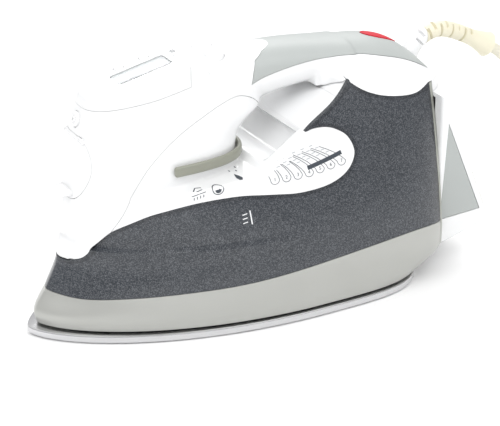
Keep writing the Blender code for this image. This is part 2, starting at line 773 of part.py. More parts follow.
def finished(obj, finish):
    """Turns a working solid into a part."""
    CUTTERS.objects.unlink(obj)
    PARTS.objects.link(obj)
    obj.hide_render = False
    obj.display_type = "TEXTURED"
    obj.data.materials.clear()
    obj.data.materials.append(finish)
    return obj


def tank():
    """The smoked water tank: a trough whose rim follows the white mouldings, with its floor on the skirt."""
    made = finished(hull("water_tank", (22, 34, 46, 53, 55, 72, 92, 110, 133)), SMOKE)
    common(made, side_cut("tank_side", tank_outline()))
    inner = hull("tank_inner", (22, 46, LID_Z, 92, 110, 150), WALL)
    floor = [(x, z + WALL) for x, z in stations(smooth(SKIRT_SEAM)) if x < sx(REAR_CUT) - WALL]
    rear = sx(REAR_CUT) - WALL
    common(inner, side_cut("tank_inside", floor + [(rear, floor[-1][1]), (rear, sz(170)), (sx(-6), sz(170))]))
    cut(made, inner)
    return cut(made, rod("floor_hole", (sx(VALVE_X), 0, sz(20)), (sx(VALVE_X), 0, sz(45)), ROD_R + RUN))


def tank_lid():
    """The flat lid inside the tank, over the water, with the holes of the neck and the valve rod."""
    low = sz(LID_Z)
    rings = [hull_ring(LID_Z, WALL + 2 * GAP), hull_ring(LID_Z, WALL + 4 * GAP, LID_T)]
    made = finished(loft("tank_lid", rings), CLEAR)
    keep_x = sx(61)
    common(made, box("lid_span", (keep_x, -WIDTH, low - MM), (sx(REAR_CUT) - WALL - GAP, WIDTH, low + 5 * MM)))
    cut(made, rod("neck_hole", (sx(76), 0, low - MM), (sx(76), 0, low + 5 * MM), NECK_R + RUN + 0.8 * MM))
    return cut(made, rod("rod_hole", (sx(VALVE_X), 0, low - MM), (sx(VALVE_X), 0, low + 5 * MM), ROD_R + RUN))


def fill_neck():
    """The hose of the fill opening, from behind the door down through the lid."""
    path = smooth([(sx(39), 0, sz(99)), (sx(50), 0, sz(96)), (sx(62), 0, sz(90)), (sx(71), 0, sz(82)),
                   (sx(75.6), 0, sz(74)), (sx(76), 0, sz(66))], 3)
    made = tube("fill_neck", path, NECK_R, SMOKE_CLEAR, 3)
    first, last = Vector(path[0]), Vector(path[-1])
    ends = [tuple(first - (Vector(path[1]) - first)), *path, tuple(last + Vector((0, 0, -4 * MM)))]
    return cut(made, tube("neck_bore", ends, NECK_R - NECK_WALL, None, 3))


def white_uppers():
    """The white mouldings and the grip, all cut from one shell so that they meet flush at their seams."""
    shell = cut(white_solid("white_solid"), white_solid("white_hollow", HANDLE_WALL))
    tank_space = side_cut("tank_space", grown(tank_outline(), GAP))
    rim_space = side_cut("rim_space", [(sx(REAR_CUT) - GAP, 0), (sx(REAR_CUT) + TRIM_T + 2 * GAP, 0),
                                       (sx(REAR_CUT) + TRIM_T + 2 * GAP, sz(119.4)), (sx(REAR_CUT) - GAP, sz(119.4))])
    rear_space = side_cut("rear_space", [(sx(REAR_CUT) + TRIM_T, 0), (sx(300), 0), (sx(300), sz(HEEL_TOP) + GAP),
                                         (sx(REAR_CUT) + TRIM_T, sz(HEEL_TOP) + GAP)])
    cut(shell, tank_space, rim_space, rear_space)
    join(shell, bridge())
    panel = common(piece("top_panel", shell, WHITE), panel_region())
    saddle = common(piece("saddle_cover", shell, WHITE), saddle_region())
    grip = common(piece("soft_grip", shell, GREY), grip_region())
    housing = piece("handle_housing", shell, WHITE)
    cut(housing, panel_region(GAP), saddle_region(GAP), grip_region(GAP))
    return panel, saddle, grip, housing


def slope_frame():
    """Place, along and outward directions of the middle of the display, on the panel's slope."""
    (x0, z0), (x1, z1) = stations(PANEL_TOP)
    along = Vector((x1 - x0, 0, z1 - z0)).normalized()
    out = Vector((-along.z, 0, along.x))
    x = sx(75.5)
    return Vector((x, 0, z0 + (z1 - z0) * (x - x0) / (x1 - x0))), along, out


def tilted_block(name, centre, along, out, size, corner, finish=None, steps=4):
    """A block with rounded corners in plan, lying along one direction with its top facing another."""
    length, width, height = size
    rings = []
    for up in (-height / 2, height / 2):
        ring = []
        for qx, qy, start in ((1, 1, 0), (-1, 1, 90), (-1, -1, 180), (1, -1, 270)):
            for k in range(steps + 1):
                turn = math.radians(start + 90 * k / steps)
                px = qx * (length / 2 - corner) + corner * math.cos(turn)
                py = qy * (width / 2 - corner) + corner * math.sin(turn)
                ring.append(tuple(centre + along * px + Vector((0, py, 0)) + out * up))
        rings.append(ring)
    return loft(name, rings, finish)


def display(panel):
    """The clear window in the panel's slot, and the display module under it."""
    place, along, out = slope_frame()
    slot = tilted_block("slot", place, along, out, (WINDOW_L, WINDOW_W, 30 * MM), 2.2 * MM)
    cut(panel, slot)
    glass = (WINDOW_L - 2 * GAP, WINDOW_W - 2 * GAP, 1.6 * MM)
    tilted_block("display_window", place - out * (WINDOW_DEEP + 0.8 * MM), along, out, glass, 2.0 * MM, CLEAR)
    board = (WINDOW_L + 6 * MM, WINDOW_W + 8 * MM, 1.6 * MM)
    tilted_block("display_module", place - out * (HANDLE_WALL + 3.4 * MM), along, out, board, 1.0 * MM, BOARD, 2)


def keys(panel):
    """Two small keys beside the window, which choose the fabric."""
    place, along, out = slope_frame()
    for name, shift in (("fabric_key_down", -8 * MM), ("fabric_key_up", 8 * MM)):
        centre = place + along * shift + Vector((0, WINDOW_W / 2 + 5.2 * MM, 0))
        cut(panel, rod("key_hole", centre - out * 8 * MM, centre + out * 6 * MM, KEY_R + RUN))
        rod(name, centre - out * HANDLE_WALL, centre + out * KEY_PROUD, KEY_R, WHITE, 20)


def thumb_buttons(housing):
    """Spray and steam-burst buttons on the crown behind the panel, each on a pump with its return spring."""
    top = sz(through(HANDLE_TOP, THUMB_X))
    for side, word in ((-1, "spray"), (1, "burst")):
        x, y = sx(THUMB_X), side * (THUMB_R + 1.6 * MM)
        cut(housing, rod("thumb_hole", (x, y, top - 14 * MM), (x, y, top + 8 * MM), THUMB_R + RUN, None, 24))
        under = top - HANDLE_WALL - 4.2 * MM
        cap = turned(f"{word}_button", [(0, under), (THUMB_R, under), (THUMB_R, top + THUMB_PROUD - 0.8 * MM),
                                        (THUMB_R - 0.8 * MM, top + THUMB_PROUD), (0, top + THUMB_PROUD)],
                     (x, y, 0), (0, 0, 1), WHITE, 24)
        stem_low = under - 9 * MM
        join(cap, rod("stem", (x, y, stem_low), (x, y, under + MM), PLUNGER_R, None, 14))
        barrel_top = under - THUMB_TRAVEL - 3.4 * MM
        barrel = rod(f"{word}_pump", (x, y, barrel_top - PUMP_L), (x, y, barrel_top), PUMP_R, WHITE, 20)
        cut(barrel, rod("pump_bore", (x, y, stem_low - THUMB_TRAVEL - 2 * MM), (x, y, barrel_top + MM),
                        PLUNGER_R + RUN, None, 14))
        spring(f"{word}_spring", x, y, barrel_top + GAP, under - GAP)


def spring(name, x, y, low, high, turns=3.5):
    """A coil of wire round the stem, between the pump and the button."""
    radius = PLUNGER_R + RUN + SPRING_WIRE + 0.5 * MM
    low, high = low + SPRING_WIRE, high - SPRING_WIRE
    count = int(turns * 8)
    points = [
        (x + radius * math.cos(math.tau * turns * k / count), y + radius * math.sin(math.tau * turns * k / count),
         low + (high - low) * k / count)
        for k in range(count + 1)
    ]
    return tube(name, points, SPRING_WIRE, DULL_STEEL, 1)


def door_frame():
    """Middle of the fill door on the nose, its outward direction and the direction up the door."""
    low, high = (Vector((sx(through(COLUMN_FRONT, z)), 0, sz(z))) for z in (84, PIN_Z))
    up = (high - low).normalized()
    return Vector((sx(through(COLUMN_FRONT, DOOR_Z)), 0, sz(DOOR_Z))), Vector((-up.z, 0, up.x)), up


def door_pin_place():
    out = door_frame()[1]
    return Vector((sx(through(COLUMN_FRONT, PIN_Z)), 0, sz(PIN_Z))) - out * PIN_DEPTH


def fill_door(housing):
    """The round fill door: cut out of the nose, hinged on a steel pin along its top, with a thumb lip below."""
    middle, out, up = door_frame()
    pin = door_pin_place()
    half = 9.5 * MM

    def above(name, by):
        corners = [pin + up * by + out * 20 * MM, pin + up * (by + 20 * MM) + out * 20 * MM,
                   pin + up * (by + 20 * MM) - out * 20 * MM, pin + up * by - out * 20 * MM]
        return side_cut(name, [(p.x, p.z) for p in corners])

    door = piece("fill_door", housing, WHITE)
    common(door, rod("door_disc", middle - out * 12 * MM, middle + out * 10 * MM, DOOR_R, None, 40))
    cut(door, above("door_chord", -1.1 * MM))
    ends = Vector((0, half, 0))
    join(door, rod("barrel", pin - ends, pin + ends, HINGE_R, None, 16))
    lip = middle - up * (DOOR_R - 3 * MM)
    rings = [[(p.x, w, p.z) for p, w in (
        (lip + up * a, -b), (lip + up * a, b), (lip - up * c, b), (lip - up * c, -b))]
        for a, b, c in ((3.4 * MM, 7.5 * MM, 1.0 * MM), (1.2 * MM, 6 * MM, 0.8 * MM))]
    shift = (-1.4 * MM, 5.6 * MM)
    rings = [[(x + out.x * d, y, z + out.z * d) for x, y, z in ring] for ring, d in zip(rings, shift)]
    join(door, loft("lip", rings))
    cut(door, rod("pin_bore", pin - ends * 1.5, pin + ends * 1.5, PIN_R + 0.15 * MM, None, 14))
    hole = rod("door_hole", middle - out * 12 * MM, middle + out * 10 * MM, DOOR_R + GAP, None, 40)
    cut(housing, cut(hole, above("hole_chord", GAP)))
    reach = Vector((0, half + RUN, 0))
    cut(housing, rod("notch", pin - reach, pin + reach, HINGE_R + RUN, None, 16))
    for side in (-1, 1):
        near, far = (Vector((0, side * (half + d), 0)) for d in (RUN, 3.4 * MM))
        join(housing, rod("lug", pin + near, pin + far, HINGE_R, None, 14))
        spare = Vector((0, side * GAP, 0))
        cut(door, rod("lug_room", pin + near - spare, pin + far + spare, HINGE_R + RUN, None, 14))
    pin_end = Vector((0, half + 2.8 * MM, 0))
    cut(housing, rod("pin_seat", pin - pin_end * 1.3, pin + pin_end * 1.3, PIN_R + 0.12 * MM, None, 16))
    rod("door_pin", pin - pin_end, pin + pin_end, PIN_R, DULL_STEEL, 14)


def spray_nozzle(housing):
    front = Vector((sx(through(COLUMN_FRONT, NOZZLE_Z)), 0, sz(NOZZLE_Z)))
    out = Vector((-0.97, 0, 0.243))
    cut(housing, rod("nozzle_hole", front - out * 8 * MM, front + out * 6 * MM, 4.4 * MM + GAP, None, 24))
    start = front - out * 6 * MM
    turned("spray_nozzle", [(0, 0), (4.4 * MM, 0), (4.4 * MM, 7.2 * MM), (3.2 * MM, 8.4 * MM), (1.3 * MM, 8.4 * MM),
                            (0.8 * MM, 7.2 * MM), (0.8 * MM, 3 * MM), (0, 3 * MM)], start, out, GREY, 20)


def steam_lever(saddle):
    """The olive slider round the back of the column, its tab through the wall, and the valve rod it works."""
    low, high = sz(LEVER_Z) - LEVER_H / 2, sz(LEVER_Z) + LEVER_H / 2
    grow = [column_ring(LEVER_Z, -(RUN + GAP + d)) for d in (0, LEVER_T)]
    outer = [(x, y) for x, y, z in grow[1]]
    made = slab("steam_lever", outer, low, high, OLIVE)
    rounding = made.modifiers.new("rounding", "BEVEL")
    rounding.width = 1.2 * MM
    rounding.segments = 2
    rounding.limit_method = "ANGLE"
    rounding.angle_limit = math.radians(50)
    cut(made, slab("lever_bore", [(x, y) for x, y, z in grow[0]], low - MM, high + MM))
    cut(made, box("lever_front", (sx(0), -WIDTH, low - MM), (sx(78.5), WIDTH, high + MM)))
    tab_z = sz(LEVER_Z) - TAB_T / 2
    tab = ((sx(VALVE_X) - 8 * MM, -TAB_W / 2, tab_z), (sx(through(COLUMN_REAR, LEVER_Z)) + RUN + MM, TAB_W / 2,
                                                     tab_z + TAB_T))
    join(made, box("tab", *tab))
    r = RUN
    cut(saddle, box("tab_slot", (tab[0][0], -TAB_W / 2 - r, tab_z - r), (tab[1][0] + MM, TAB_W / 2 + r,
                                                                        tab_z + TAB_T + r)))
    return made


def rear_trim():
    """The thin grey strip down the rear edge of the tank."""
    x0, x1 = sx(REAR_CUT) + GAP, sx(REAR_CUT) + GAP + TRIM_T
    made = finished(hull("rear_trim", (6.8, 22, 34, 46, 72, 92, 110, 133)), OLIVE_LIGHT)
    common(made, side_cut("trim_band", [(x0, sz(21)), (x1, sz(21)), (x1, sz(118.6)), (x0, sz(118.6))]))
    inner = hull("trim_inner", (0, 20, 46, 80, 110, 150), WALL + 2 * MM)
    common(inner, box("trim_window", (x0 - 5 * MM, -WIDTH, sz(26)), (x1 + 5 * MM, WIDTH, sz(111))))
    return cut(made, inner)


def heel_outline(by=0.0):
    front = sx(REAR_CUT) + TRIM_T + 2 * GAP
    line = [(max(x, front), z) for x, z in stations(HEEL_LINE)]
    return grown(line, by) if by else line


def heel():
    """The heel the iron stands on: a hollow white block with grey panels let into its sides."""
    half = sy(HEEL_HALF)
    block = side_block("heel_block", heel_outline(), half, HEEL_ROUND)
    made = finished(block, WHITE)
    inside = [(x if x > heel_outline()[0][0] + 2 * WALL else x - 4 * WALL, z) for x, z in heel_outline(-WALL)]
    cut(made, prism("heel_inside", inside, -half + 3 * WALL, half - 3 * WALL))
    front = heel_outline()[0][0]
    triangle = [(front + 2.2 * MM, sz(33.2)), (sx(280.5), sz(34.6)), (sx(254.5), sz(95))]
    for side, word in ((-1, "left"), (1, "right")):
        ys = sorted((side * (half - 2.2 * MM), side * (half + 2 * MM)))
        cut(made, prism("panel_seat", grown(triangle, GAP), ys[0], ys[1]))
        face = sorted((side * (half - 2.2 * MM + GAP), side * half))
        prism(f"heel_panel_{word}", triangle, face[0], face[1], GREY)
    return made


def side_block(name, outline, half, corner):
    """An outline carried across, with its long edges rounded."""
    rings = []
    for side in (-1, 1):
        rows = []
        for turn in (0, 30, 60, 90):
            inset = corner * (1 - math.sin(math.radians(turn)))
            y = side * (half - corner + corner * math.cos(math.radians(turn)))
            rows.append([(x, y, z) for x, z in grown(outline, -inset)])
        rings += rows if side < 0 else rows[::-1]
    return loft(name, rings)


def rear_cover(heel_part):
    """The cover on the sloping back of the heel, over the terminals, with its two screws."""
    low, high = (Vector((x, 0, z)) for x, z in stations((HEEL_LINE[3], HEEL_LINE[4])))
    up = (high - low).normalized()
    out = Vector((up.z, 0, -up.x))
    middle = (low + high) / 2
    size = (44 * MM, 56 * MM)
    seat = tilted_block("cover_seat", middle, up, out, (size[0] + 2 * GAP, size[1] + 2 * GAP, 3.6 * MM), 4.3 * MM)
    window = tilted_block("cover_window", middle, up, out, (size[0] - 12 * MM, size[1] - 12 * MM, 30 * MM), 2 * MM)
    cut(heel_part, seat)
    cover = tilted_block("rear_cover", middle - out * (0.75 * MM - GAP / 2), up, out, (*size, 1.5 * MM), 4 * MM, WHITE)
    cut(heel_part, window)
    for side in (-1, 1):
        centre = middle + Vector((0, side * (size[1] / 2 - 8.5 * MM), 0))
        hole = rod("screw_hole", centre - out * 6 * MM, centre + out * 4 * MM, SCREW_R + RUN, None, 14)
        cut(cover, hole)
        face = centre + out * (GAP + GAP / 2)
        screw = rod(f"cover_screw_{'left' if side < 0 else 'right'}", face, face + out * SCREW_HEAD_T * 0.6,
                    SCREW_HEAD_R, DULL_STEEL, 16)
        join(screw, rod("shank", face - out * 5 * MM, face + out * 0.4 * MM, SCREW_R, None, 12))
    return cover


def electronics():
    """The board in the back of the tank housing with its relay, and the terminal block in the heel."""
    x0, z = sx(196), sz(82)
    box("control_board", (x0, -24 * MM, z), (x0 + 38 * MM, 24 * MM, z + 1.6 * MM), BOARD)
    box("relay", (x0 + 8 * MM, -8 * MM, z + 1.6 * MM + GAP), (x0 + 26 * MM, 8 * MM, z + 16 * MM), BLACK)
    front = sx(REAR_CUT) + TRIM_T + 2 * GAP
    box("terminal_block", (front + 2 * MM, -14 * MM, sz(52)), (front + 14 * MM, 14 * MM, sz(64)), BLACK)


def route_points(route, shift):
    """Places along the cord, which stays as laid whatever the iron's size."""
    return [((x - 144) * MM + shift[0], y * MM, z * MM + shift[1]) for x, y, z in route]


def cord_swivel(housing, others):
    """The ball in the handle's tail, with the bend guard it carries."""
    shift = (sx(BALL[0]) - (BALL[0] - 144) * MM, sz(BALL[1]) - BALL[1] * MM)
    ball = Vector((sx(BALL[0]), 0, sz(BALL[1])))
    guard = [Vector(p) for p in smooth(route_points([(x, 0, z) for x, z in GUARD_ROUTE], shift), 2)]
    first = guard[0]
    made = ball_solid("swivel_ball", ball, BALL_R, DARK)
    nearer = (first - ball).normalized()
    start = ball + nearer * (BALL_R * 0.72)
    path = [start, *[p for p in guard if (p - start).length > 2 * MM and p.x > start.x]]
    way = (path[1] - start).normalized()
    cut(made, rod("ball_flat", start - way * GAP, start + way * 20 * MM, 20 * MM, None, 12))
    radii = [guard_radius(k / (len(path) - 1)) for k in range(len(path))]
    solid = swept("cord_guard", path, radii, CREAM)
    bore_path = [path[0] - (path[1] - path[0]), *path, path[-1] + (path[-1] - path[-2])]
    cut(solid, swept("guard_bore", bore_path, [CORD_R + GAP] * len(bore_path)))
    for turn in (-20, -10, 0, 10, 20):
        spin = Matrix.Translation(ball) @ Matrix.Rotation(math.radians(turn), 4, "Z") @ Matrix.Translation(-ball)
        ways = [spin @ p for p in (ball + nearer * 2 * MM, path[2], path[4])]
        way = rod("guard_way", ways[0], ways[0] + (ways[1] - ways[0]).normalized() * 26 * MM, GUARD_R + 1.6 * MM,
                  None, 12)
        cut(housing, way)
        cut(others[-1], way)
    for near in (housing, *others):
        cut(near, ball_solid("ball_room", ball, BALL_R + RUN))
    return ball, path


def guard_radius(t):
    """Radius of the bend guard along it: a collar at the ball, an even sleeve and a trumpet mouth."""
    if t < 0.12:
        return GUARD_R + 1.0 * MM * (1 - t / 0.12)
    if t > 0.76:
        return GUARD_R + (BELL_R - GUARD_R) * ((t - 0.76) / 0.24) ** 1.6
    return GUARD_R


def ball_solid(name, centre, radius, finish=None):
    bm = bmesh.new()
    bmesh.ops.create_uvsphere(bm, u_segments=20, v_segments=12, radius=radius)
    bmesh.ops.translate(bm, vec=centre, verts=bm.verts)
    return from_bmesh(name, bm, finish)


def swept(name, path, radii, finish=None, sides=12):
    """Round sections along a path in the centre plane."""
    rings = []
    for k, (point, radius) in enumerate(zip(path, radii)):
        before, after = path[max(k - 1, 0)], path[min(k + 1, len(path) - 1)]
        way = (after - before).normalized()
        side = Vector((0, 1, 0))
        lift = way.cross(side)
        rings.append([
            tuple(point + side * radius * math.cos(math.tau * i / sides) + lift * radius * math.sin(math.tau * i / sides))
            for i in range(sides)
        ])
    return loft(name, rings, finish)


def cord(shift, mouth):
    """The cord from the guard's mouth to the plug: a free stretch, a neat coil with its tie, and the tail."""
    route = route_points(CORD_ROUTE, shift)
    ground = [(x, y, max(z - shift[1] * k / len(route), CORD_R + 0.1 * MM)) for k, (x, y, z) in enumerate(route)]
    points = [Vector(p) for p in smooth(ground, 3)]
    start = mouth[-1] + (mouth[-1] - mouth[-2]).normalized() * GAP
    points = [start, *[p for p in points if p.x > start.x + 2 * MM]]
    centre = Vector(((COIL[0] - 144) * MM + shift[0], COIL[1] * MM, 0))
    free = COIL_MEAN_R + COIL_SIDE / 2 + CORD_R * 0.72 + GAP
    points = [p for p in points if (Vector((p.x, p.y, 0)) - centre).length > free]
    tube("power_cord", points, CORD_R, CREAM, 2)
    low, half = TIE_T + GAP + 0.7 * MM, COIL_SIDE / 2
    inner, outer = COIL_MEAN_R - half, COIL_MEAN_R + half
    round_off = 3 * MM
    profile = [(inner, COIL_SIDE - round_off), (inner + round_off, COIL_SIDE), (outer - round_off, COIL_SIDE),
               (outer, COIL_SIDE - round_off), (outer, round_off), (outer - round_off, 0), (inner + round_off, 0),
               (inner, round_off)]
    turned("cord_coil", profile, centre + Vector((0, 0, low)), (0, 0, 1), CREAM, 40)
    tail = [Vector(p) for p in smooth(route_points([(x, y, z) for x, y, z in TAIL_ROUTE], (shift[0], 0)), 3)]
    tube("cord_tail", tail, CORD_R, CREAM, 2)
    tie(centre, low)
    plug(tail[-1] + Vector((0, GAP, 0)))


def tie(centre, low):
    """The strap round the coil."""
    turn = math.radians(150)
    out = Vector((math.cos(turn), math.sin(turn), 0))
    across = Vector((-out.y, out.x, 0))
    middle = centre + out * COIL_MEAN_R + Vector((0, 0, low + COIL_SIDE / 2))
    half = COIL_SIDE / 2 + GAP + 0.5 * MM

    def frame(name, reach, wide, finish=None):
        corner = 3 * MM if finish is None else 3 * MM + TIE_T
        rings = []
        for side in (-wide / 2, wide / 2):
            ring = []
            for qx, qy, start in ((1, 1, 0), (-1, 1, 90), (-1, -1, 180), (1, -1, 270)):
                for k in range(4):
                    a = math.radians(start + 30 * k)
                    px = qx * (reach - corner) + corner * math.cos(a)
                    pz = qy * (reach - corner) + corner * math.sin(a)
                    ring.append(tuple(middle + out * px + Vector((0, 0, pz)) + across * side))
            rings.append(ring)
        return loft(name, rings, finish)

    cut(frame("cord_tie", half + TIE_T, TIE_W, BLACK), frame("tie_hole", half, TIE_W + 4 * MM))


def plug(start):
    """A moulded two-blade plug lying on the table beside the coil."""
    width, height, length, neck = 25 * MM, 19.6 * MM, 32 * MM, 10 * MM
    rings = []
    for along, w, h in ((0, 10 * MM, 10 * MM), (neck, 13 * MM, 12 * MM), (neck + 5 * MM, width, height - 1 * MM),
                        (neck + 12 * MM, width, height), (length, width * 0.96, height * 0.96)):
        rings.append([(x, start.y + along, z) for x, _, z in
                      ((start.x + p[0], 0, start.z + p[1]) for p in rounded(w / 2, h / 2, 3.4 * MM))])
    body = loft("plug_body", rings, CREAM)
    end = start.y + length
    for side, word, tall in ((-1, "wide", 7.9 * MM), (1, "narrow", 6.3 * MM)):
        x = start.x + side * 6.35 * MM
        seat = (x - BLADE_T / 2 - GAP, end - 6 * MM, start.z - tall / 2 - GAP), \
            (x + BLADE_T / 2 + GAP, end + MM, start.z + tall / 2 + GAP)
        cut(body, box("blade_seat", *seat))
        box(f"plug_blade_{word}", (x - BLADE_T / 2, end - 6 * MM + GAP, start.z - tall / 2),
            (x + BLADE_T / 2, end + BLADE_L, start.z + tall / 2), DULL_STEEL)


def rounded(a, b, corner, steps=3):
    corner = min(corner, a * 0.9, b * 0.9)
    found = []
    for qx, qy, start in ((1, 1, 0), (-1, 1, 90), (-1, -1, 180), (1, -1, 270)):
        for k in range(steps + 1):
            turn = math.radians(start + 90 * k / steps)
            found.append((qx * (a - corner) + corner * math.cos(turn), qy * (b - corner) + corner * math.sin(turn)))
    return found


def power_button(grip):
    """The red button, a lens let into the top of the grip near its tail."""
    x0, x1 = sx(POWER_FROM), sx(POWER_TO)
    half = POWER_HALF
    outline = []
    for k in range(16):
        turn = math.tau * k / 16
        outline.append(((x0 + x1) / 2 + (x1 - x0) / 2 * math.cos(turn), half * math.sin(turn)))
    slot = [((x0 + x1) / 2 + ((x1 - x0) / 2 + GAP) * math.cos(math.tau * k / 16),
             (half + GAP) * math.sin(math.tau * k / 16)) for k in range(16)]
    bottom = sz(118)
    lens = piece("power_button", grip, RED)
    common(lens, slab("lens_cut", outline, bottom, sz(170)))
    cut(grip, slab("lens_hole", slot, bottom, sz(170)))
    return lens


def valve_rod():
    """The needle that opens the steam valve: it runs from under the lever's tab into the chamber's cover."""
    top = sz(LEVER_Z) - TAB_T / 2 - RUN - 0.4 * MM - 0.3 * MM
    cover_top = SOLE_T + GAP + CHAMBER_H + 2 * GAP + GASKET_T + COVER_T
    made = rod("valve_rod", (sx(VALVE_X), 0, cover_top - COVER_T - 2.4 * MM), (sx(VALVE_X), 0, top), ROD_R, DULL_STEEL, 14)
    return join(made, rod("head", (sx(VALVE_X), 0, top - 2 * MM), (sx(VALVE_X), 0, top), 3.4 * MM, None, 14))


clear()
PARTS = collection("steam_iron")
CUTTERS = collection("cutters", hidden=True)
WHITE = material("white_plastic", (0.86, 0.87, 0.88), 0.28)
GREY = material("grey_soft_plastic", (0.52, 0.54, 0.54), 0.5)
SILVER = material("silver_plastic", (0.55, 0.55, 0.52), 0.35, 0.5)
SMOKE = material("smoked_tank", (0.07, 0.08, 0.1), 0.2)
STEEL = material("polished_steel", (0.75, 0.75, 0.76), 0.12, 1.0)
DULL_STEEL = material("plain_steel", (0.6, 0.6, 0.6), 0.35, 1.0)
DARK_STEEL = material("heater_sheath", (0.25, 0.24, 0.23), 0.45, 1.0)
CAST = material("cast_aluminium", (0.6, 0.6, 0.6), 0.6, 1.0)
BRASS = material("brass", (0.7, 0.55, 0.25), 0.35, 1.0)
BLACK = material("black_plastic", (0.02, 0.02, 0.02), 0.5)
DARK = material("dark_nylon", (0.6, 0.58, 0.5), 0.5)
SILICONE = material("red_silicone", (0.55, 0.12, 0.08), 0.7)
OLIVE = material("olive_grey_plastic", (0.36, 0.36, 0.3), 0.45)
OLIVE_LIGHT = material("warm_grey_plastic", (0.5, 0.5, 0.46), 0.4)
CLEAR = material("clear_plastic", (0.85, 0.87, 0.88), 0.08, 0.0, 0.8)
SMOKE_CLEAR = material("tinted_hose", (0.6, 0.62, 0.66), 0.3)
RED = material("red_lens", (0.6, 0.02, 0.03), 0.15)
CREAM = material("cream_vinyl", (0.8, 0.76, 0.62), 0.5)
BOARD = material("circuit_board", (0.05, 0.25, 0.12), 0.5)

soleplate()
chamber()
heat_shield()
skirt()
tank_part = tank()
tank_lid()
fill_neck()
panel_part, saddle_part, grip_part, housing_part = white_uppers()
display(panel_part)
keys(panel_part)
thumb_buttons(housing_part)
fill_door(housing_part)
spray_nozzle(housing_part)
steam_lever(saddle_part)
valve_rod()
power_button(grip_part)
trim_part = rear_trim()
heel_part = heel()
rear_cover(heel_part)
electronics()
ball_place, guard_path = cord_swivel(housing_part, (tank_part, trim_part, heel_part, grip_part))
cord((ball_place.x - (BALL[0] - 144) * MM, ball_place.z - BALL[1] * MM), guard_path)

for part in (housing_part, saddle_part, grip_part, tank_part, trim_part):
    simplified(part, FLAT_ENOUGH)

origin_at("steam_lever", (sx(VALVE_X), 0, sz(LEVER_Z)))
origin_at("valve_rod", (sx(VALVE_X), 0, sz(LEVER_Z)))
origin_at("fill_door", tuple(door_pin_place()))
origin_at("power_button", (sx((POWER_FROM + POWER_TO) / 2), 0, sz(through(HANDLE_TOP, (POWER_FROM + POWER_TO) / 2))))
for side, word in ((-1, "spray"), (1, "burst")):
    origin_at(f"{word}_button", (sx(THUMB_X), side * (THUMB_R + 1.6 * MM), sz(through(HANDLE_TOP, THUMB_X))))
display_place, slope_along, slope_out = slope_frame()
for word, shift in (("down", -8 * MM), ("up", 8 * MM)):
    key_place = display_place + slope_along * shift + Vector((0, WINDOW_W / 2 + 5.2 * MM, 0))
    origin_at(f"fabric_key_{word}", tuple(key_place))
swivel = bpy.data.objects.new("cord_swivel_axis", None)
swivel.location = ball_place
PARTS.objects.link(swivel)
for name in ("swivel_ball", "cord_guard", "power_cord", "cord_coil", "cord_tail", "cord_tie", "plug_body",
             "plug_blade_wide", "plug_blade_narrow"):
    bpy.data.objects[name].parent = swivel
    bpy.data.objects[name].matrix_parent_inverse = Matrix.Translation(-ball_place)

for part in PARTS.objects:
    if part.type == "MESH":
        part.data.shade_smooth()
        part.data.set_sharp_from_angle(angle=math.radians(35))
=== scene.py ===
"""Steam iron with digital controls, finished for looks on the frame of its CAD model."""

import math

import bmesh
import bpy
from mathutils import Matrix, Vector
from mathutils.bvhtree import BVHTree


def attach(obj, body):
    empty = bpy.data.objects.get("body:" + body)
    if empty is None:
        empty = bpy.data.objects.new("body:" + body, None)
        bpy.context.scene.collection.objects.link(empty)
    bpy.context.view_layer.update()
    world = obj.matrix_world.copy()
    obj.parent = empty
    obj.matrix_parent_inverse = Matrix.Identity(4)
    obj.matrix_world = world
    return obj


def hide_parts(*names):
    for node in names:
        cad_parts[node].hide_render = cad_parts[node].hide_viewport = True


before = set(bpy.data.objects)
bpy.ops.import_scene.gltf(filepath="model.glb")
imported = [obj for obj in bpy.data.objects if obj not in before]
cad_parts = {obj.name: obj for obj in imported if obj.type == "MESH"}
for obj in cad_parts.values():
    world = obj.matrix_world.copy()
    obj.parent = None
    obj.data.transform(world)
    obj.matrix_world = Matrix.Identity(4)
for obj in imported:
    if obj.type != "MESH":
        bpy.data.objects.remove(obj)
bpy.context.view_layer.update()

# Camera, floor and light: a pale table under a large soft sky, with softboxes over the side and the nose
# and one behind.
# The camera looks down on the side of the iron, a little towards its nose.
scene = bpy.context.scene
camera = bpy.data.objects.new("camera", bpy.data.cameras.new("camera"))
scene.collection.objects.link(camera)
camera.data.lens = 120.44
camera.data.sensor_width = 36
camera.data.clip_start = 0.01
camera.location = (-0.43884, -0.79268, 0.46605)
aim = Vector((0.00055, 0, 0.04343))
camera.rotation_euler = (aim - camera.location).to_track_quat("-Z", "Y").to_euler()
scene.camera = camera
scene.view_settings.view_transform = "Standard"

sky = bpy.data.worlds.new("studio")
scene.world = sky
sky.use_nodes = True
sky_nodes, sky_link = sky.node_tree.nodes, sky.node_tree.links.new
sky_place = sky_nodes.new("ShaderNodeTexCoord")
sky_parts = sky_nodes.new("ShaderNodeSeparateXYZ")
sky_link(sky_place.outputs["Generated"], sky_parts.inputs["Vector"])
sky_ramp = sky_nodes.new("ShaderNodeValToRGB")
sky_ramp.color_ramp.elements[0].position = 0.0
sky_ramp.color_ramp.elements[0].color = (0.56, 0.56, 0.57, 1)
sky_ramp.color_ramp.elements[1].position = 0.75
sky_ramp.color_ramp.elements[1].color = (1, 1, 1, 1)
sky_link(sky_parts.outputs["Z"], sky_ramp.inputs["Fac"])
sky_link(sky_ramp.outputs["Color"], sky_nodes["Background"].inputs["Color"])
sky_nodes["Background"].inputs["Strength"].default_value = 0.91


def softbox(name, place, size, power):
    light = bpy.data.objects.new(name, bpy.data.lights.new(name, "AREA"))
    scene.collection.objects.link(light)
    light.data.shape = "RECTANGLE"
    light.data.size, light.data.size_y = size
    light.data.energy = power
    light.location = place
    light.rotation_euler = (Vector((0, 0, 0.06)) - Vector(place)).to_track_quat("-Z", "Y").to_euler()


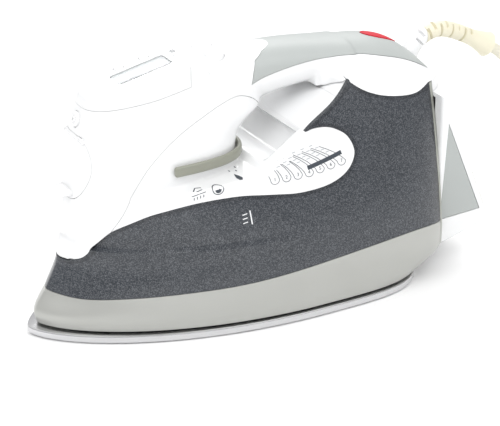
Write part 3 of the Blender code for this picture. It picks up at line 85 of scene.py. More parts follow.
softbox("softbox_overhead", (0.25, -0.75, 1.05), (0.9, 0.7), 4.8)
softbox("softbox_over_nose", (-0.8, -0.4, 1.0), (0.7, 0.6), 5)
softbox("softbox_behind", (0.5, 0.9, 0.9), (0.8, 0.6), 6)


def unselect():
    bpy.ops.object.select_all(action="DESELECT")


unselect()
bpy.ops.mesh.primitive_plane_add(size=14, location=(0, 0, -0.0002))
floor = bpy.context.active_object
floor.name = "table"


def finish(name, colour, roughness, vary=0.04, grain=0.0008, relief=0.00002, metallic=0.0, coat=0.0,
           stretch=(1, 1, 1)):
    """A moulded or metal surface: slow changes of shade and gloss, and a fine grain."""
    made = bpy.data.materials.new(name)
    made.use_nodes = True
    nodes, link = made.node_tree.nodes, made.node_tree.links.new
    shader = nodes["Principled BSDF"]
    shader.inputs["Metallic"].default_value = metallic
    shader.inputs["Coat Weight"].default_value = coat
    shader.inputs["Coat Roughness"].default_value = 0.06
    place = nodes.new("ShaderNodeTexCoord")
    mapping = nodes.new("ShaderNodeMapping")
    mapping.inputs["Scale"].default_value = stretch
    link(place.outputs["Object"], mapping.inputs["Vector"])
    slow = nodes.new("ShaderNodeTexNoise")
    slow.inputs["Scale"].default_value = 45
    slow.inputs["Detail"].default_value = 3
    fine = nodes.new("ShaderNodeTexNoise")
    fine.inputs["Scale"].default_value = 1 / grain
    fine.inputs["Detail"].default_value = 2
    for noise in (slow, fine):
        link(mapping.outputs["Vector"], noise.inputs["Vector"])
    shade = nodes.new("ShaderNodeMix")
    shade.data_type = "RGBA"
    shade.inputs[6].default_value = (*[c * (1 - vary) for c in colour], 1)
    shade.inputs[7].default_value = (*[min(c * (1 + vary), 1) for c in colour], 1)
    link(slow.outputs["Fac"], shade.inputs[0])
    link(shade.outputs[2], shader.inputs["Base Color"])
    gloss = nodes.new("ShaderNodeMapRange")
    gloss.inputs["To Min"].default_value = roughness * 0.85
    gloss.inputs["To Max"].default_value = roughness * 1.15
    link(fine.outputs["Fac"], gloss.inputs["Value"])
    link(gloss.outputs["Result"], shader.inputs["Roughness"])
    bump = nodes.new("ShaderNodeBump")
    bump.inputs["Distance"].default_value = relief
    bump.inputs["Strength"].default_value = 0.6
    link(fine.outputs["Fac"], bump.inputs["Height"])
    link(bump.outputs["Normal"], shader.inputs["Normal"])
    return made


table_white = finish("table_white", (0.93, 0.93, 0.93), 0.7, 0.01, 0.004)
floor.data.materials.append(table_white)


# Mains cord: 2.4 m of round 7 mm vinyl lead. It leaves the bend guard, drops to the table and is wound
# beside the iron in nine close turns, three wide and three high, whose last turn crosses over to the plug.
MM = 0.001
CORD_R = 3.5 * MM
CORD_ROUTE = ((313.2, 0, 121.2), (322, 0, 115.5), (332, 1, 106), (340, 1, 92), (344, 1, 74), (346, 0, 54),
              (349, -3, 34), (356, -9, 16), (368, -18, 6.6), (382, -27.6, 3.75))
COIL = (417.0, 8.0)
COIL_MEAN = 41.3
PITCH = 7.15
COIL_LOW = 5.0
PLUG_START = ((480.6, 10, 11.4), (482, 22, 10))


def design(x, y, z):
    """A place given in millimetres behind the nose tip, across and up, as a place in the frame."""
    return Vector(((x - 144) * MM, y * MM, z * MM))


def smooth(points, per=3):
    """Points on a Catmull-Rom curve through the given ones."""
    count = len(points)
    found = []
    for i in range(count - 1):
        near = [points[min(max(i + k, 0), count - 1)] for k in (-1, 0, 1, 2)]
        a, b, c, d = (Vector(p) for p in near)
        for k in range(per):
            t = k / per
            found.append(0.5 * (2 * b + (c - a) * t + (2 * a - 5 * b + 4 * c - d) * t**2
                                + (3 * b - a - 3 * c + d) * t**3))
    found.append(Vector(points[-1]))
    return [tuple(p) for p in found]


def eased(t):
    return 0.5 - 0.5 * math.cos(math.pi * min(max(t, 0.0), 1.0))


def coil_place(turn):
    """Radius and height of the winding at an angle in degrees: its turns lie in a three by three stack."""
    slots = [(1, 0), (0, 0), (-1, 0), (-1, 1), (0, 1), (1, 1), (1, 2), (0, 2), (-1, 2)]
    count = min(int(turn // 360), 8)
    part = (turn - 360 * count) / 120 if count else 1
    before, after = slots[max(count - 1, 0)], slots[count]
    r = before[0] + (after[0] - before[0]) * eased(part)
    z = before[1] + (after[1] - before[1]) * eased(part)
    if count and before[0] == after[0]:
        r += 0.36 * before[0] * math.sin(math.pi * min(max(part, 0), 1))
    z += 1.02 * eased((turn - 3010) / 80) - 0.75 * eased((turn - 3150) / 60)
    r += 3.05 * eased((turn - 3060) / 120)
    return COIL_MEAN + PITCH * r, COIL_LOW + PITCH * z


winding = []
for turn in range(244, 3206, 10):
    r, z = coil_place(turn)
    angle = math.radians(turn)
    winding.append((COIL[0] + r * math.cos(angle), COIL[1] + r * math.sin(angle), z))
cord_line = [design(*p) for p in smooth([*CORD_ROUTE, *winding, *PLUG_START], 2)]
line = bpy.data.curves.new("mains_cord", "CURVE")
line.dimensions = "3D"
line.bevel_depth = CORD_R
line.bevel_resolution = 5
line.use_fill_caps = True
spline = line.splines.new("POLY")
spline.points.add(len(cord_line) - 1)
for point, place in zip(spline.points, cord_line):
    point.co = (*place, 1)
mains_cord = bpy.data.objects.new("mains_cord", line)
scene.collection.objects.link(mains_cord)
cream_vinyl = finish("cream_vinyl", (0.80, 0.77, 0.64), 0.42, 0.05, 0.0012, 0.00003)
line.materials.append(cream_vinyl)
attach(mains_cord, "cord_swivel")
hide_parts("power_cord", "cord_coil", "cord_tail")


# Bend guard: a soft cream nylon sleeve over the cord, with a trumpet mouth. Ten slots, cut from
# one side and the other by turns, let it flex; it is moulded round the swivel ball in the tail of the handle.
GUARD_ROUTE = ((253.6, 124.2), (258.5, 130.6), (265, 135.4), (273, 137.6), (281, 136.6), (290, 133.2),
               (299, 128.8), (306, 125.2), (312.5, 121.6))
GUARD_R = 5.0 * MM
BELL_R = 8.0 * MM
SLOT_W = 1.2 * MM


def lofted(name, rings):
    """A skin through rings of equal count."""
    bm = bmesh.new()
    rows = [[bm.verts.new(p) for p in ring] for ring in rings]
    count = len(rings[0])
    for low, high in zip(rows, rows[1:]):
        for k in range(count):
            bm.faces.new((low[k], low[(k + 1) % count], high[(k + 1) % count], high[k]))
    bm.faces.new(rows[0][::-1])
    bm.faces.new(rows[-1])
    bmesh.ops.recalc_face_normals(bm, faces=bm.faces)
    mesh = bpy.data.meshes.new(name)
    bm.to_mesh(mesh)
    bm.free()
    obj = bpy.data.objects.new(name, mesh)
    scene.collection.objects.link(obj)
    return obj


def fitted(obj, material, body, slot, *stands_for, angle=38):
    """Gives a finished mesh its material and shading, and hangs it on its body."""
    obj.data.materials.clear()
    obj.data.materials.append(material)
    obj.data.shade_smooth()
    obj.data.set_sharp_from_angle(angle=math.radians(angle))
    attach(obj, body)
    if stands_for:
        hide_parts(*stands_for)
    return obj


def guard_radius(t):
    if t < 0.12:
        return GUARD_R + 1.0 * MM * eased(1 - t / 0.12)
    if t > 0.74:
        return GUARD_R + (BELL_R - GUARD_R) * ((t - 0.74) / 0.26) ** 1.5
    return GUARD_R


guard_line = [design(x, 0, z) for x, z in GUARD_ROUTE]
ball = design(249.5, 0, 119.6)
start = ball + (guard_line[0] - ball).normalized() * 5.0 * MM
guard_line = [Vector(p) for p in smooth([start, *guard_line[1:]], 30)]
rings = []
for k, point in enumerate(guard_line):
    t = k / (len(guard_line) - 1)
    way = (guard_line[min(k + 1, len(guard_line) - 1)] - guard_line[max(k - 1, 0)]).normalized()
    lift = way.cross(Vector((0, 1, 0)))
    ring = []
    for i in range(64):
        turn = math.tau * i / 64
        radius = guard_radius(t)
        place_in = (t - 0.16) / 0.062
        number = round(place_in)
        if 0 <= number <= 9:
            off = abs(place_in - number) * 0.062 * 76 * MM
            middle = 0.0 if number % 2 else math.pi
            away = abs((turn - middle - 0.9 + math.pi) % math.tau - math.pi)
            depth = 2.4 * MM * eased((SLOT_W / 2 + 0.22 * MM - off) / (0.3 * MM)) * eased((1.9 - away) / 0.18)
            radius -= depth
        ring.append(tuple(point + Vector((0, 1, 0)) * radius * math.cos(turn)
                          + lift * radius * math.sin(turn)))
    rings.append(ring)
mouth = guard_line[-1]
way = (guard_line[-1] - guard_line[-2]).normalized()
lift = way.cross(Vector((0, 1, 0)))
for radius, back in ((BELL_R - 0.5 * MM, -0.4 * MM), (BELL_R - 1.6 * MM, -0.3 * MM),
                     (CORD_R + 0.9 * MM, 5 * MM), (CORD_R + 0.25 * MM, 9 * MM)):
    ring = []
    for i in range(64):
        turn = math.tau * i / 64
        across = Vector((0, 1, 0)) * math.cos(turn) + lift * math.sin(turn)
        ring.append(tuple(mouth - way * back + across * radius))
    rings.append(ring)
bend_guard = lofted("bend_guard", rings)
cream_nylon = finish("cream_nylon", (0.80, 0.76, 0.60), 0.45, 0.05, 0.0009, 0.00003)
fitted(bend_guard, cream_nylon, "cord_swivel", "cream_nylon", "cord_guard", angle=60)


# Swivel ball, cord tie and plug: a nylon ball in the handle's tail, a black hook-and-loop strap round the
# coil, and a moulded two-blade plug with nickel-plated blades.
def coat_node(name, material):
    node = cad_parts[name]
    node.data.materials.clear()
    node.data.materials.append(material)


coat_node("swivel_ball", cream_nylon)
strap_black = finish("strap_black", (0.03, 0.03, 0.032), 0.75, 0.2, 0.0006, 0.0001)
coat_node("cord_tie", strap_black)
coat_node("plug_body", cream_vinyl)
blade_nickel = finish("blade_nickel", (0.72, 0.70, 0.66), 0.22, 0.05, 0.0004, 0.00001, metallic=1.0)
for name in ("plug_blade_wide", "plug_blade_narrow"):
    coat_node(name, blade_nickel)


# Soleplate: a stamped stainless skin on the aluminium casting, with a rolled rim, ground flat and polished,
# and a ring of punched steam holes. A black heat shield sits between it and the skirt.
WIDEST = 160


def pointed_ring(nose, rear, half, blunt, z, front=56, back=28):
    """A level outline in design millimetres, pointed at the nose and square-shouldered at the rear."""
    side = []
    for k in range(front):
        turn = math.pi / 2 * k / front
        side.append((WIDEST - (WIDEST - nose) * math.cos(turn), half * math.sin(turn) ** blunt))
    for k in range(back + 1):
        turn = math.pi / 2 * (1 - k / back)
        r = (math.cos(turn) ** 4 + math.sin(turn) ** 4) ** -0.25
        side.append((WIDEST + (rear - WIDEST) * r * math.cos(turn), half * r * math.sin(turn)))
    near = [tuple(design(x, -y, z)) for x, y in side]
    far = [tuple(design(x, y, z)) for x, y in side[-2:0:-1]]
    return near + far


def combine(target, other, how="DIFFERENCE", solver="MANIFOLD", keep_other=False):
    """Cuts, joins or intersects two closed meshes."""
    unselect()
    bpy.context.view_layer.objects.active = target
    step = target.modifiers.new("step", "BOOLEAN")
    step.operation = how
    step.object = other
    step.solver = solver
    bpy.ops.object.modifier_apply(modifier="step")
    if not target.data.polygons:
        raise SystemExit(f"nothing is left of {target.name} after {other.name}")
    if not keep_other:
        bpy.data.objects.remove(other)
    return target


def rod(name, start, end, radius, sides=32):
    start, end = Vector(start), Vector(end)
    unselect()
    turn = Vector((0, 0, 1)).rotation_difference(end - start)
    bpy.ops.mesh.primitive_cylinder_add(vertices=sides, radius=radius, depth=(end - start).length,
                                        location=(start + end) / 2, rotation=turn.to_euler())
    made = bpy.context.active_object
    made.name = name
    bpy.ops.object.transform_apply(location=True, rotation=True, scale=True)
    return made


rings = []
for inset, up in ((9, 0.0), (2.2, 0.0), (1.5, 0.12), (0.8, 0.5), (0.3, 1.15), (0.0, 2.1), (0.0, 4.3),
                  (0.25, 4.9), (0.8, 5.2), (9, 5.2)):
    rings.append(pointed_ring(1.4 * inset, 239.5 - inset, 63.5 - inset, 1.333, up, 64, 32))
soleplate = lofted("soleplate_skin", rings)
holes = [(24, 0.0)]
for k in range(7):
    along = 38 + 17 * k
    y = 50.5 * (1 - ((WIDEST - along) / WIDEST) ** 2) ** 0.667
    holes += [(along, -y), (along, y)]
for x, y in holes:
    combine(soleplate, rod("hole", design(x, y, -1), design(x, y, 6), 1.6 * MM, 24), solver="EXACT")
sole_steel = finish("sole_steel", (0.66, 0.66, 0.67), 0.2, 0.03, 0.0005, 0.000006, metallic=1.0,
                    stretch=(0.06, 1, 1))
fitted(soleplate, sole_steel, "iron", "polished_steel", "soleplate", angle=30)
shield_black = finish("shield_black", (0.02, 0.02, 0.022), 0.55, 0.1, 0.0008, 0.00004)
coat_node("heat_shield", shield_black)


# Steam chamber: cast aluminium on the sole, with the sheathed heater, a red silicone gasket, a stamped steel
# cover, the thermal fuse and the brass sensor. The skirt hides them all.
cast_metal = finish("cast_metal", (0.60, 0.60, 0.60), 0.55, 0.08, 0.0007, 0.00008, metallic=1.0)
coat_node("steam_chamber", cast_metal)
heater_dark = finish("heater_dark", (0.25, 0.24, 0.23), 0.45, 0.1, 0.0006, 0.00003, metallic=1.0)
coat_node("heating_element", heater_dark)
gasket_red = finish("gasket_red", (0.50, 0.10, 0.07), 0.65, 0.06, 0.0008, 0.00003)
coat_node("chamber_gasket", gasket_red)
plain_steel = finish("plain_steel", (0.62, 0.62, 0.62), 0.32, 0.05, 0.0005, 0.00002, metallic=1.0)
for name in ("chamber_cover", "valve_rod", "spray_spring", "burst_spring", "door_pin"):
    coat_node(name, plain_steel)
sensor_brass = finish("sensor_brass", (0.72, 0.56, 0.26), 0.32, 0.06, 0.0006, 0.00002, metallic=1.0)
for name in ("thermal_fuse", "temperature_sensor"):
    coat_node(name, sensor_brass)


# Skirt: a band moulded in silver-grey polypropylene, painted. It hides the heat shield, carries the tank
# and turns under at the bottom, where a dark line parts it from the sole.
WALL = 2.6
GAP = 0.3
TO_SKIRT = 6.8
HULL_NOSE = ((6.8, 5.6), (12, 4.4), (26, 12), (45, 20), (53, 20.6), (55, 28.5), (80, 30), (131, 36))
HULL_HALF = ((6.8, 62), (14, 63.2), (30, 63.5), (46, 61), (60, 58), (77, 53.5), (100, 47), (118, 40.6),
             (133, 33))
HULL_BLUNT = ((6.8, 1.333), (45, 1.333), (60, 1.1), (90, 0.9))
HULL_REAR = ((6.8, 240), (22, 262), (133, 262))
REAR_CUT = 246.5
SKIRT_SEAM = ((-6, 27.2), (12, 26.4), (27, 25.4), (50, 27), (79, 29), (112, 30.8), (162, 35.2), (219, 39),
              (250, 36.4))


def through(stations, at):
    """Smooth value at one place from (place, value) stations, without overshoot."""
    xs = [s[0] for s in stations]
    ys = [s[1] for s in stations]
    if at <= xs[0]:
        return ys[0]
    if at >= xs[-1]:
        return ys[-1]
    rise = [(ys[i + 1] - ys[i]) / (xs[i + 1] - xs[i]) for i in range(len(xs) - 1)]
    slope = [rise[0]]
    for a, b in zip(rise, rise[1:]):
        slope.append(0.0 if a * b <= 0 else 2 * a * b / (a + b))
    slope.append(rise[-1])
    i = max(k for k in range(len(xs) - 1) if xs[k] <= at)
    h = xs[i + 1] - xs[i]
    t = (at - xs[i]) / h
    return (ys[i] * (1 + 2 * t) * (1 - t) ** 2 + ys[i + 1] * t * t * (3 - 2 * t)
            + h * slope[i] * t * (1 - t) ** 2 + h * slope[i + 1] * t * t * (t - 1))


def hull_ring(z, inset=0.0, front=56, back=28):
    nose = through(HULL_NOSE, z) + 1.9 * inset
    rear = through(HULL_REAR, z) - inset
    return pointed_ring(nose, rear, through(HULL_HALF, z) - inset, through(HULL_BLUNT, z), z, front, back)


def hull_half_width(x, z):
    nose, rear, half = through(HULL_NOSE, z), through(HULL_REAR, z), through(HULL_HALF, z)
    if x < WIDEST:
        reach = (WIDEST - x) / (WIDEST - nose)
        return half * max(1 - reach**2, 0) ** (through(HULL_BLUNT, z) / 2)
    reach = (x - WIDEST) / (rear - WIDEST)
    return half * max(1 - reach**4, 0) ** 0.25


def hull(name, low, high, step, inset=0.0, front=56, back=28):
    count = max(round((high - low) / step), 1)
    levels = sorted({low + (high - low) * k / count for k in range(count + 1)})
    return lofted(name, [hull_ring(z, inset, front, back) for z in levels])


def side_cut(name, outline, half=90):
    """A side view in design millimetres, carried across the whole width."""
    bm = bmesh.new()
    near = [bm.verts.new(design(x, -half, z)) for x, z in outline]
    far = [bm.verts.new(design(x, half, z)) for x, z in outline]
    count = len(outline)
    for k in range(count):
        bm.faces.new((near[k], near[(k + 1) % count], far[(k + 1) % count], far[k]))
    caps = [bm.faces.new(near[::-1]), bm.faces.new(far)]
    bmesh.ops.triangulate(bm, faces=caps)
    bmesh.ops.recalc_face_normals(bm, faces=bm.faces)
    mesh = bpy.data.meshes.new(name)
    bm.to_mesh(mesh)
    bm.free()
    obj = bpy.data.objects.new(name, mesh)
    scene.collection.objects.link(obj)
    return obj


skirt_top = [(x, z - GAP) for x, z in smooth(SKIRT_SEAM, 8) if x < REAR_CUT]
skirt_side = [(-8, TO_SKIRT), *skirt_top, (REAR_CUT, skirt_top[-1][1] + 0.3), (REAR_CUT, 21), (238, TO_SKIRT)]
skirt = hull("skirt_band", TO_SKIRT, 44, 1.2)
combine(skirt, side_cut("skirt_side", skirt_side), "INTERSECT")
combine(skirt, hull("skirt_inside", 4, 50, 2.4, WALL))
silver_paint = finish("silver_paint", (0.46, 0.465, 0.44), 0.34, 0.03, 0.0004, 0.00002, metallic=0.45,
                      coat=0.2)
fitted(skirt, silver_paint, "iron", "silver_plastic", "skirt")


# Water tank: one smoked, flake-filled copolyester moulding. A darker line is painted just inside its upper
# and rear rim as shade where the white mouldings and the trim meet it; the lid and the tinted fill hose are behind
# it.
TRIM_T = 2.2
SEAM_TOP = ((176, 127), (182, 129), (186, 130.4), (190.5, 129.6), (196, 125.4), (203, 121.8), (212, 118.8),
            (224, 116.6), (236, 116.2), (247, 119.2), (258, 120.5))
TANK_FRONT = ((19, 45.4), (23, 44.6), (29, 48), (34, 55), (43.5, 64.5), (55, 71.4), (66, 75.7), (87, 79.8),
              (110, 80.8), (131, 78.6), (148, 76.8), (167, 78), (180, 83.4), (186, 92.5), (183, 102), (176, 107.4),
              (169, 109.8), (161.5, 110.2), (156, 109.2))
SADDLE_TOP = ((128, 90), (134, 94), (144, 101), (154, 108), (162, 112.9), (174, 119), (182, 124), (190.5, 131))


def tank_edges():
    low = [p for p in smooth(SKIRT_SEAM, 8) if p[0] < REAR_CUT]
    root = [p for p in smooth(SEAM_TOP[3:], 8) if 190.5 < p[0] < REAR_CUT]
    slope = [p for p in smooth(SADDLE_TOP, 8) if p[0] > 157]
    tongue = smooth(TANK_FRONT, 8)
    rim = [(REAR_CUT, low[-1][1]), (REAR_CUT, root[-1][1] + 0.2)] + root[::-1] + slope[::-1] + tongue[::-1]
    return low, rim


def grown(outline, by):
    """A closed outline moved out by a distance, or in when it is negative."""
    count = len(outline)
    area = sum(outline[k][0] * outline[(k + 1) % count][1] - outline[(k + 1) % count][0] * outline[k][1]
               for k in range(count))
    sign = 1 if area > 0 else -1
    moved = []
    for k in range(count):
        a, b, c = (Vector(outline[(k + i) % count]) for i in (-1, 0, 1))
        n1 = Vector(((b - a).y, -(b - a).x)).normalized() * sign
        n2 = Vector(((c - b).y, -(c - b).x)).normalized() * sign
        mid = (n1 + n2).normalized()
        moved.append(tuple(b + mid * by / max(mid.dot(n1), 0.5)))
    return moved


tank_low, tank_rim = tank_edges()
tank_side = tank_low + tank_rim + [(-6, 45)]
tank = hull("tank_shell", 20, 134, 1.5, 0, 64, 32)
combine(tank, side_cut("tank_side", tank_side), "INTERSECT")
tank_inside = hull("tank_inside", 24, 150, 6, WALL, 24, 12)
inside_low = [(x, z + WALL) for x, z in tank_low if x < REAR_CUT - WALL]
combine(tank_inside, side_cut("inside_side", inside_low + [(REAR_CUT - WALL, 170), (-6, 170)]), "INTERSECT")
combine(tank, tank_inside)
combine(tank, rod("floor_hole", design(110, 0, 20), design(110, 0, 45), 2.2 * MM))

# Distance from the tank's upper and rear rim in centimetres, read by its material for the painted shade.
edge = tank.data.attributes.new("rim", "FLOAT", "POINT")
segments = [(Vector(a), Vector(b)) for a, b in zip(tank_rim, tank_rim[1:])]
for vertex in tank.data.vertices:
    here = Vector((vertex.co.x / MM + 144, vertex.co.z / MM))
    nearest = 99.0
    for a, b in segments:
        if abs(a.x - here.x) > 16 + abs(b.x - a.x) or abs(a.y - here.y) > 16 + abs(b.y - a.y):
            continue
        t = min(max((here - a).dot(b - a) / max((b - a).length_squared, 1e-9), 0), 1)
        nearest = min(nearest, (here - a - (b - a) * t).length)
    edge.data[vertex.index].value = nearest / 10

smoke = finish("smoked_flake", (0.026, 0.031, 0.038), 0.24, 0.22, 0.0006, 0.000006, coat=0.15)
nodes_in, link = smoke.node_tree.nodes, smoke.node_tree.links.new
shader = nodes_in["Principled BSDF"]
under = shader.inputs["Base Color"].links[0].from_socket
place = nodes_in.new("ShaderNodeTexCoord")
flakes = nodes_in.new("ShaderNodeTexVoronoi")
flakes.inputs["Scale"].default_value = 2600
link(place.outputs["Object"], flakes.inputs["Vector"])
part_of = nodes_in.new("ShaderNodeSeparateColor")
link(flakes.outputs["Color"], part_of.inputs["Color"])
bright = nodes_in.new("ShaderNodeMapRange")
bright.inputs["From Min"].default_value = 0.45
link(part_of.outputs["Red"], bright.inputs["Value"])
speckle = nodes_in.new("ShaderNodeMix")
speckle.data_type = "RGBA"
speckle.inputs[7].default_value = (0.13, 0.137, 0.15, 1)
link(bright.outputs["Result"], speckle.inputs[0])
link(under, speckle.inputs[6])
# Painted shade: the flake colour is darkened most about 1.5 mm inside the upper and rear rim, where the white
# mouldings and the trim meet the tank, a little up to 6 mm in, and not at all beyond.
rim = nodes_in.new("ShaderNodeAttribute")
rim.attribute_name = "rim"
band = nodes_in.new("ShaderNodeValToRGB")
band.color_ramp.elements[0].position = 0.0
band.color_ramp.elements[0].color = (0.75, 0.75, 0.75, 1)
band.color_ramp.elements[1].position = 0.62
band.color_ramp.elements[1].color = (1, 1, 1, 1)
dark = band.color_ramp.elements.new(0.15)
dark.color = (0.55, 0.55, 0.57, 1)
after = band.color_ramp.elements.new(0.22)
after.color = (0.92, 0.92, 0.93, 1)
link(rim.outputs["Fac"], band.inputs["Fac"])
rim_shade_multiply = nodes_in.new("ShaderNodeMix")
rim_shade_multiply.data_type = "RGBA"
rim_shade_multiply.blend_type = "MULTIPLY"
rim_shade_multiply.inputs[0].default_value = 1.0
link(speckle.outputs[2], rim_shade_multiply.inputs[6])
link(band.outputs["Color"], rim_shade_multiply.inputs[7])
link(rim_shade_multiply.outputs[2], shader.inputs["Base Color"])
fitted(tank, smoke, "iron", "smoked_tank", "water_tank")

clear_plastic = finish("clear_plastic", (0.86, 0.88, 0.90), 0.08, 0.02, 0.0006, 0.000005)
clear_plastic.node_tree.nodes["Principled BSDF"].inputs["Transmission Weight"].default_value = 0.85
coat_node("tank_lid", clear_plastic)
hose_tint = finish("hose_tint", (0.50, 0.52, 0.56), 0.3, 0.05, 0.0008, 0.00002)
coat_node("fill_neck", hose_tint)


# White mouldings: the saddle over the tank, the front housing with the handle's underside, and the display
# panel, all in gloss white ABS. They clip together, so only hairline joints show; the grip is a grey soft
# overmoulding along the top of the handle.
COLUMN_FRONT = ((50, 29), (56, 27), (77, 28), (88, 27.6), (104, 30.5), (120, 34), (132, 37.5), (156, 45))
COLUMN_REAR = ((50, 118), (90, 128), (100, 128.5), (108, 131), (114, 138), (120, 146), (156, 150))
COLUMN_HALF = ((50, 25), (77, 29), (92, 31.5), (104, 30.5), (120, 27), (134, 23.5), (156, 20.5))
HANDLE_TOP = ((98, 151.4), (112, 152), (125, 152), (149, 150.6), (166, 149.8), (198, 146.4),
              (219, 144.2), (228, 142.2), (236, 139.4), (246, 133.4), (252, 127.8), (258, 119.8))
HANDLE_BOTTOM = ((98, 120), (118, 118), (132, 117.6), (145, 119.6), (160, 122.4), (180, 124), (200, 124))
HANDLE_HALF = ((98, 21.5), (130, 20), (150, 19.4), (185, 19.8), (205, 21.5), (225, 23), (246, 23), (258, 21))
ROOT_LOW = ((176, 124.3), (183, 124.2), (188, 125), (193, 119.6), (198, 115.5), (212, 109.8), (224, 107.6),
            (236, 107.2), (247, 110.2), (258, 111.5))
ROOT_FLARE = ((180, 0.0), (184, 0.15), (188, 0.7), (191, 1.0))
PANEL_TOP = ((20, 134.1), (104, 153.2))
SHOULDER = ((-10, 80), (28, 81), (60, 84), (100, 87.5), (128, 90))
FRONT_SEAM = ((44, 66), (49, 75), (55, 88), (62, 98), (70, 105.6), (80, 112.6), (90, 118), (100, 122.4),
              (112, 127), (124, 129.4), (134, 126), (141, 120), (150, 112))
PANEL_SEAM = ((30, 131), (38, 132.6), (46, 133.4), (58, 134.6), (76, 136.6), (95, 140.2))
GRIP_SEAM = ((135, 133.6), (144, 136.6), (165, 140), (186, 140.8), (208, 139), (230, 133.8), (243.5, 128.8),
             (256, 122))
HANDLE_WALL = 2.8
LEVER_Z, LEVER_H, LEVER_T, RUN = 96.4, 6.2, 3.0, 0.4
HEEL_TOP = 113.0
VOXEL = 0.85 * MM


def column_ring(z, inset=0.0, count=112):
    front, rear = through(COLUMN_FRONT, z) + inset, through(COLUMN_REAR, z) - inset
    half = through(COLUMN_HALF, z) - inset
    ring = []
    for k in range(count):
        turn = math.pi + math.tau * k / count
        c, s = math.cos(turn), math.sin(turn)
        r = (abs(c) ** 3 + abs(s) ** 3) ** (-1 / 3)
        ring.append(tuple(design((front + rear) / 2 + (rear - front) / 2 * r * c, half * r * s, z)))
    return ring


def handle_section(x, inset=0.0, count=72):
    top, bottom = through(HANDLE_TOP, x) - inset, through(HANDLE_BOTTOM, x) + inset
    half = through(HANDLE_HALF, x) - inset
    ring = []
    for k in range(count):
        turn = math.tau * k / count
        c, s = math.cos(turn), math.sin(turn)
        r = (abs(c) ** 2.3 + abs(s) ** 2.3) ** (-1 / 2.3)
        ring.append(tuple(design(x, half * r * s, (top + bottom) / 2 + (top - bottom) / 2 * r * c)))
    return ring


def root_section(x, inset=0.0, steps=12):
    """One upright section of the flared root: a rounded crown, a hollow flank and a skirt inside the tank."""
    top = through(HANDLE_TOP, x) - inset
    crown = min(14, (top - through(SEAM_TOP, x)) * 0.55)
    waist = top + inset - crown
    half = through(HANDLE_HALF, x) - inset
    seam = through(SEAM_TOP, x) + 1.0 - inset
    flare = through(ROOT_FLARE, x)
    edge_half = half + (hull_half_width(x, through(SEAM_TOP, x)) - inset - half) * flare
    side = []
    for k in range(steps):
        turn = math.pi / 2 * k / steps
        side.append((half * math.sin(turn), waist + (top - waist) * math.cos(turn)))
    for k in range(steps + 1):
        turn = math.pi / 2 * k / steps
        side.append((half + (edge_half - half) * (1 - math.cos(turn)),
                     waist - (waist - seam) * math.sin(turn)))
    low = through(ROOT_LOW, x)
    side.append((half + (hull_half_width(x, low) - inset - half) * flare, low))
    right = [tuple(design(x, y, z)) for y, z in side]
    return right + [tuple(design(x, -y, z)) for y, z in side[:0:-1]]


def stepped(low, high, step):
    count = round((high - low) / step)
    return [low + (high - low) * k / count for k in range(count + 1)]


def white_solid(name, inset, step):
    """The whole white upper before it is split: saddle, column, handle and root in one."""
    ring = round(56 / step), round(28 / step)
    made = hull(name, 38, 122, 1.6 * step, inset, *ring)
    outline = [(x, z - inset) for x, z in [*SHOULDER, *smooth(SADDLE_TOP[1:6], 6), (192, 119)]]
    combine(made, side_cut(name + "_base", [(-10, 40), *outline, (192, 70)]), "INTERSECT")
    rear = through(COLUMN_REAR, LEVER_Z)
    deep = LEVER_Z - LEVER_H / 2 - RUN - inset
    end = rear + RUN + LEVER_T + 14 + 1.5 + inset / 2
    well = [(rear - 30, deep), (end, deep), (end + 10, deep + 9), (end + 18, deep + 40),
            (rear - 30, deep + 40)]
    combine(made, side_cut("well", well, through(COLUMN_HALF, LEVER_Z) + RUN + LEVER_T + 1.5 + inset))
    column = lofted("column", [column_ring(z, inset, round(112 / step)) for z in stepped(50, 156, 2 * step)])
    slope = [*PANEL_TOP, (108, 144), (120, 138), (150, 128), (162, 118)]
    combine(column, side_cut("slope", [(x, z - inset) for x, z in slope] + [(162, 190), (20, 190)]))
    combine(made, column, "UNION")
    rows = stepped(98, 204, 2 * step)
    combine(made, lofted("handle", [handle_section(x, inset, round(72 / step)) for x in rows]), "UNION")
    rows = stepped(177, 258, 1.5 * step) if not inset else stepped(179, 255.5, 1.5 * step)
    combine(made, lofted("root", [root_section(x, inset, max(round(12 / step), 3)) for x in rows]), "UNION")
    return made


def apply_step(obj, kind, **settings):
    unselect()
    bpy.context.view_layer.objects.active = obj
    step = obj.modifiers.new("step", kind)
    for key, value in settings.items():
        setattr(step, key, value)
    bpy.ops.object.modifier_apply(modifier="step")
    return obj


def copied(obj, name):
    made = bpy.data.objects.new(name, obj.data.copy())
    scene.collection.objects.link(made)
    return made


shell = white_solid("white_shell", 0.0, 1.0)
apply_step(shell, "REMESH", mode="VOXEL", voxel_size=VOXEL)
apply_step(shell, "SMOOTH", factor=0.5, iterations=14)
combine(shell, white_solid("white_hollow", HANDLE_WALL, 2.5))
combine(shell, side_cut("tank_space", grown(tank_side, GAP)))
combine(shell, side_cut("rim_space", [(REAR_CUT - GAP, -5), (REAR_CUT + TRIM_T + 2 * GAP, -5),
                                      (REAR_CUT + TRIM_T + 2 * GAP, 119.4), (REAR_CUT - GAP, 119.4)]))
combine(shell, side_cut("rear_space", [(REAR_CUT + TRIM_T, -5), (300, -5), (300, HEEL_TOP + GAP),
                                       (REAR_CUT + TRIM_T, HEEL_TOP + GAP)]))
unselect()
bpy.ops.mesh.primitive_uv_sphere_add(segments=48, ring_count=24, radius=7.4 * MM, location=ball)
ball_room = bpy.context.active_object
bpy.ops.object.transform_apply(location=True, rotation=True, scale=True)
combine(shell, ball_room)


def guard_way(turn):
    """Room for the bend guard when the ball has turned by an angle in degrees."""
    spin = Matrix.Translation(ball) @ Matrix.Rotation(math.radians(turn), 4, "Z") @ Matrix.Translation(-ball)
    near, far = spin @ (ball + (guard_line[0] - ball).normalized() * 2 * MM), spin @ guard_line[18]
    return rod("guard_way", near, near + (far - near).normalized() * 26 * MM, 6.6 * MM, 40)


SWINGS = (-20, -10, 0, 10, 20)
for turn in SWINGS:
    combine(shell, guard_way(turn))

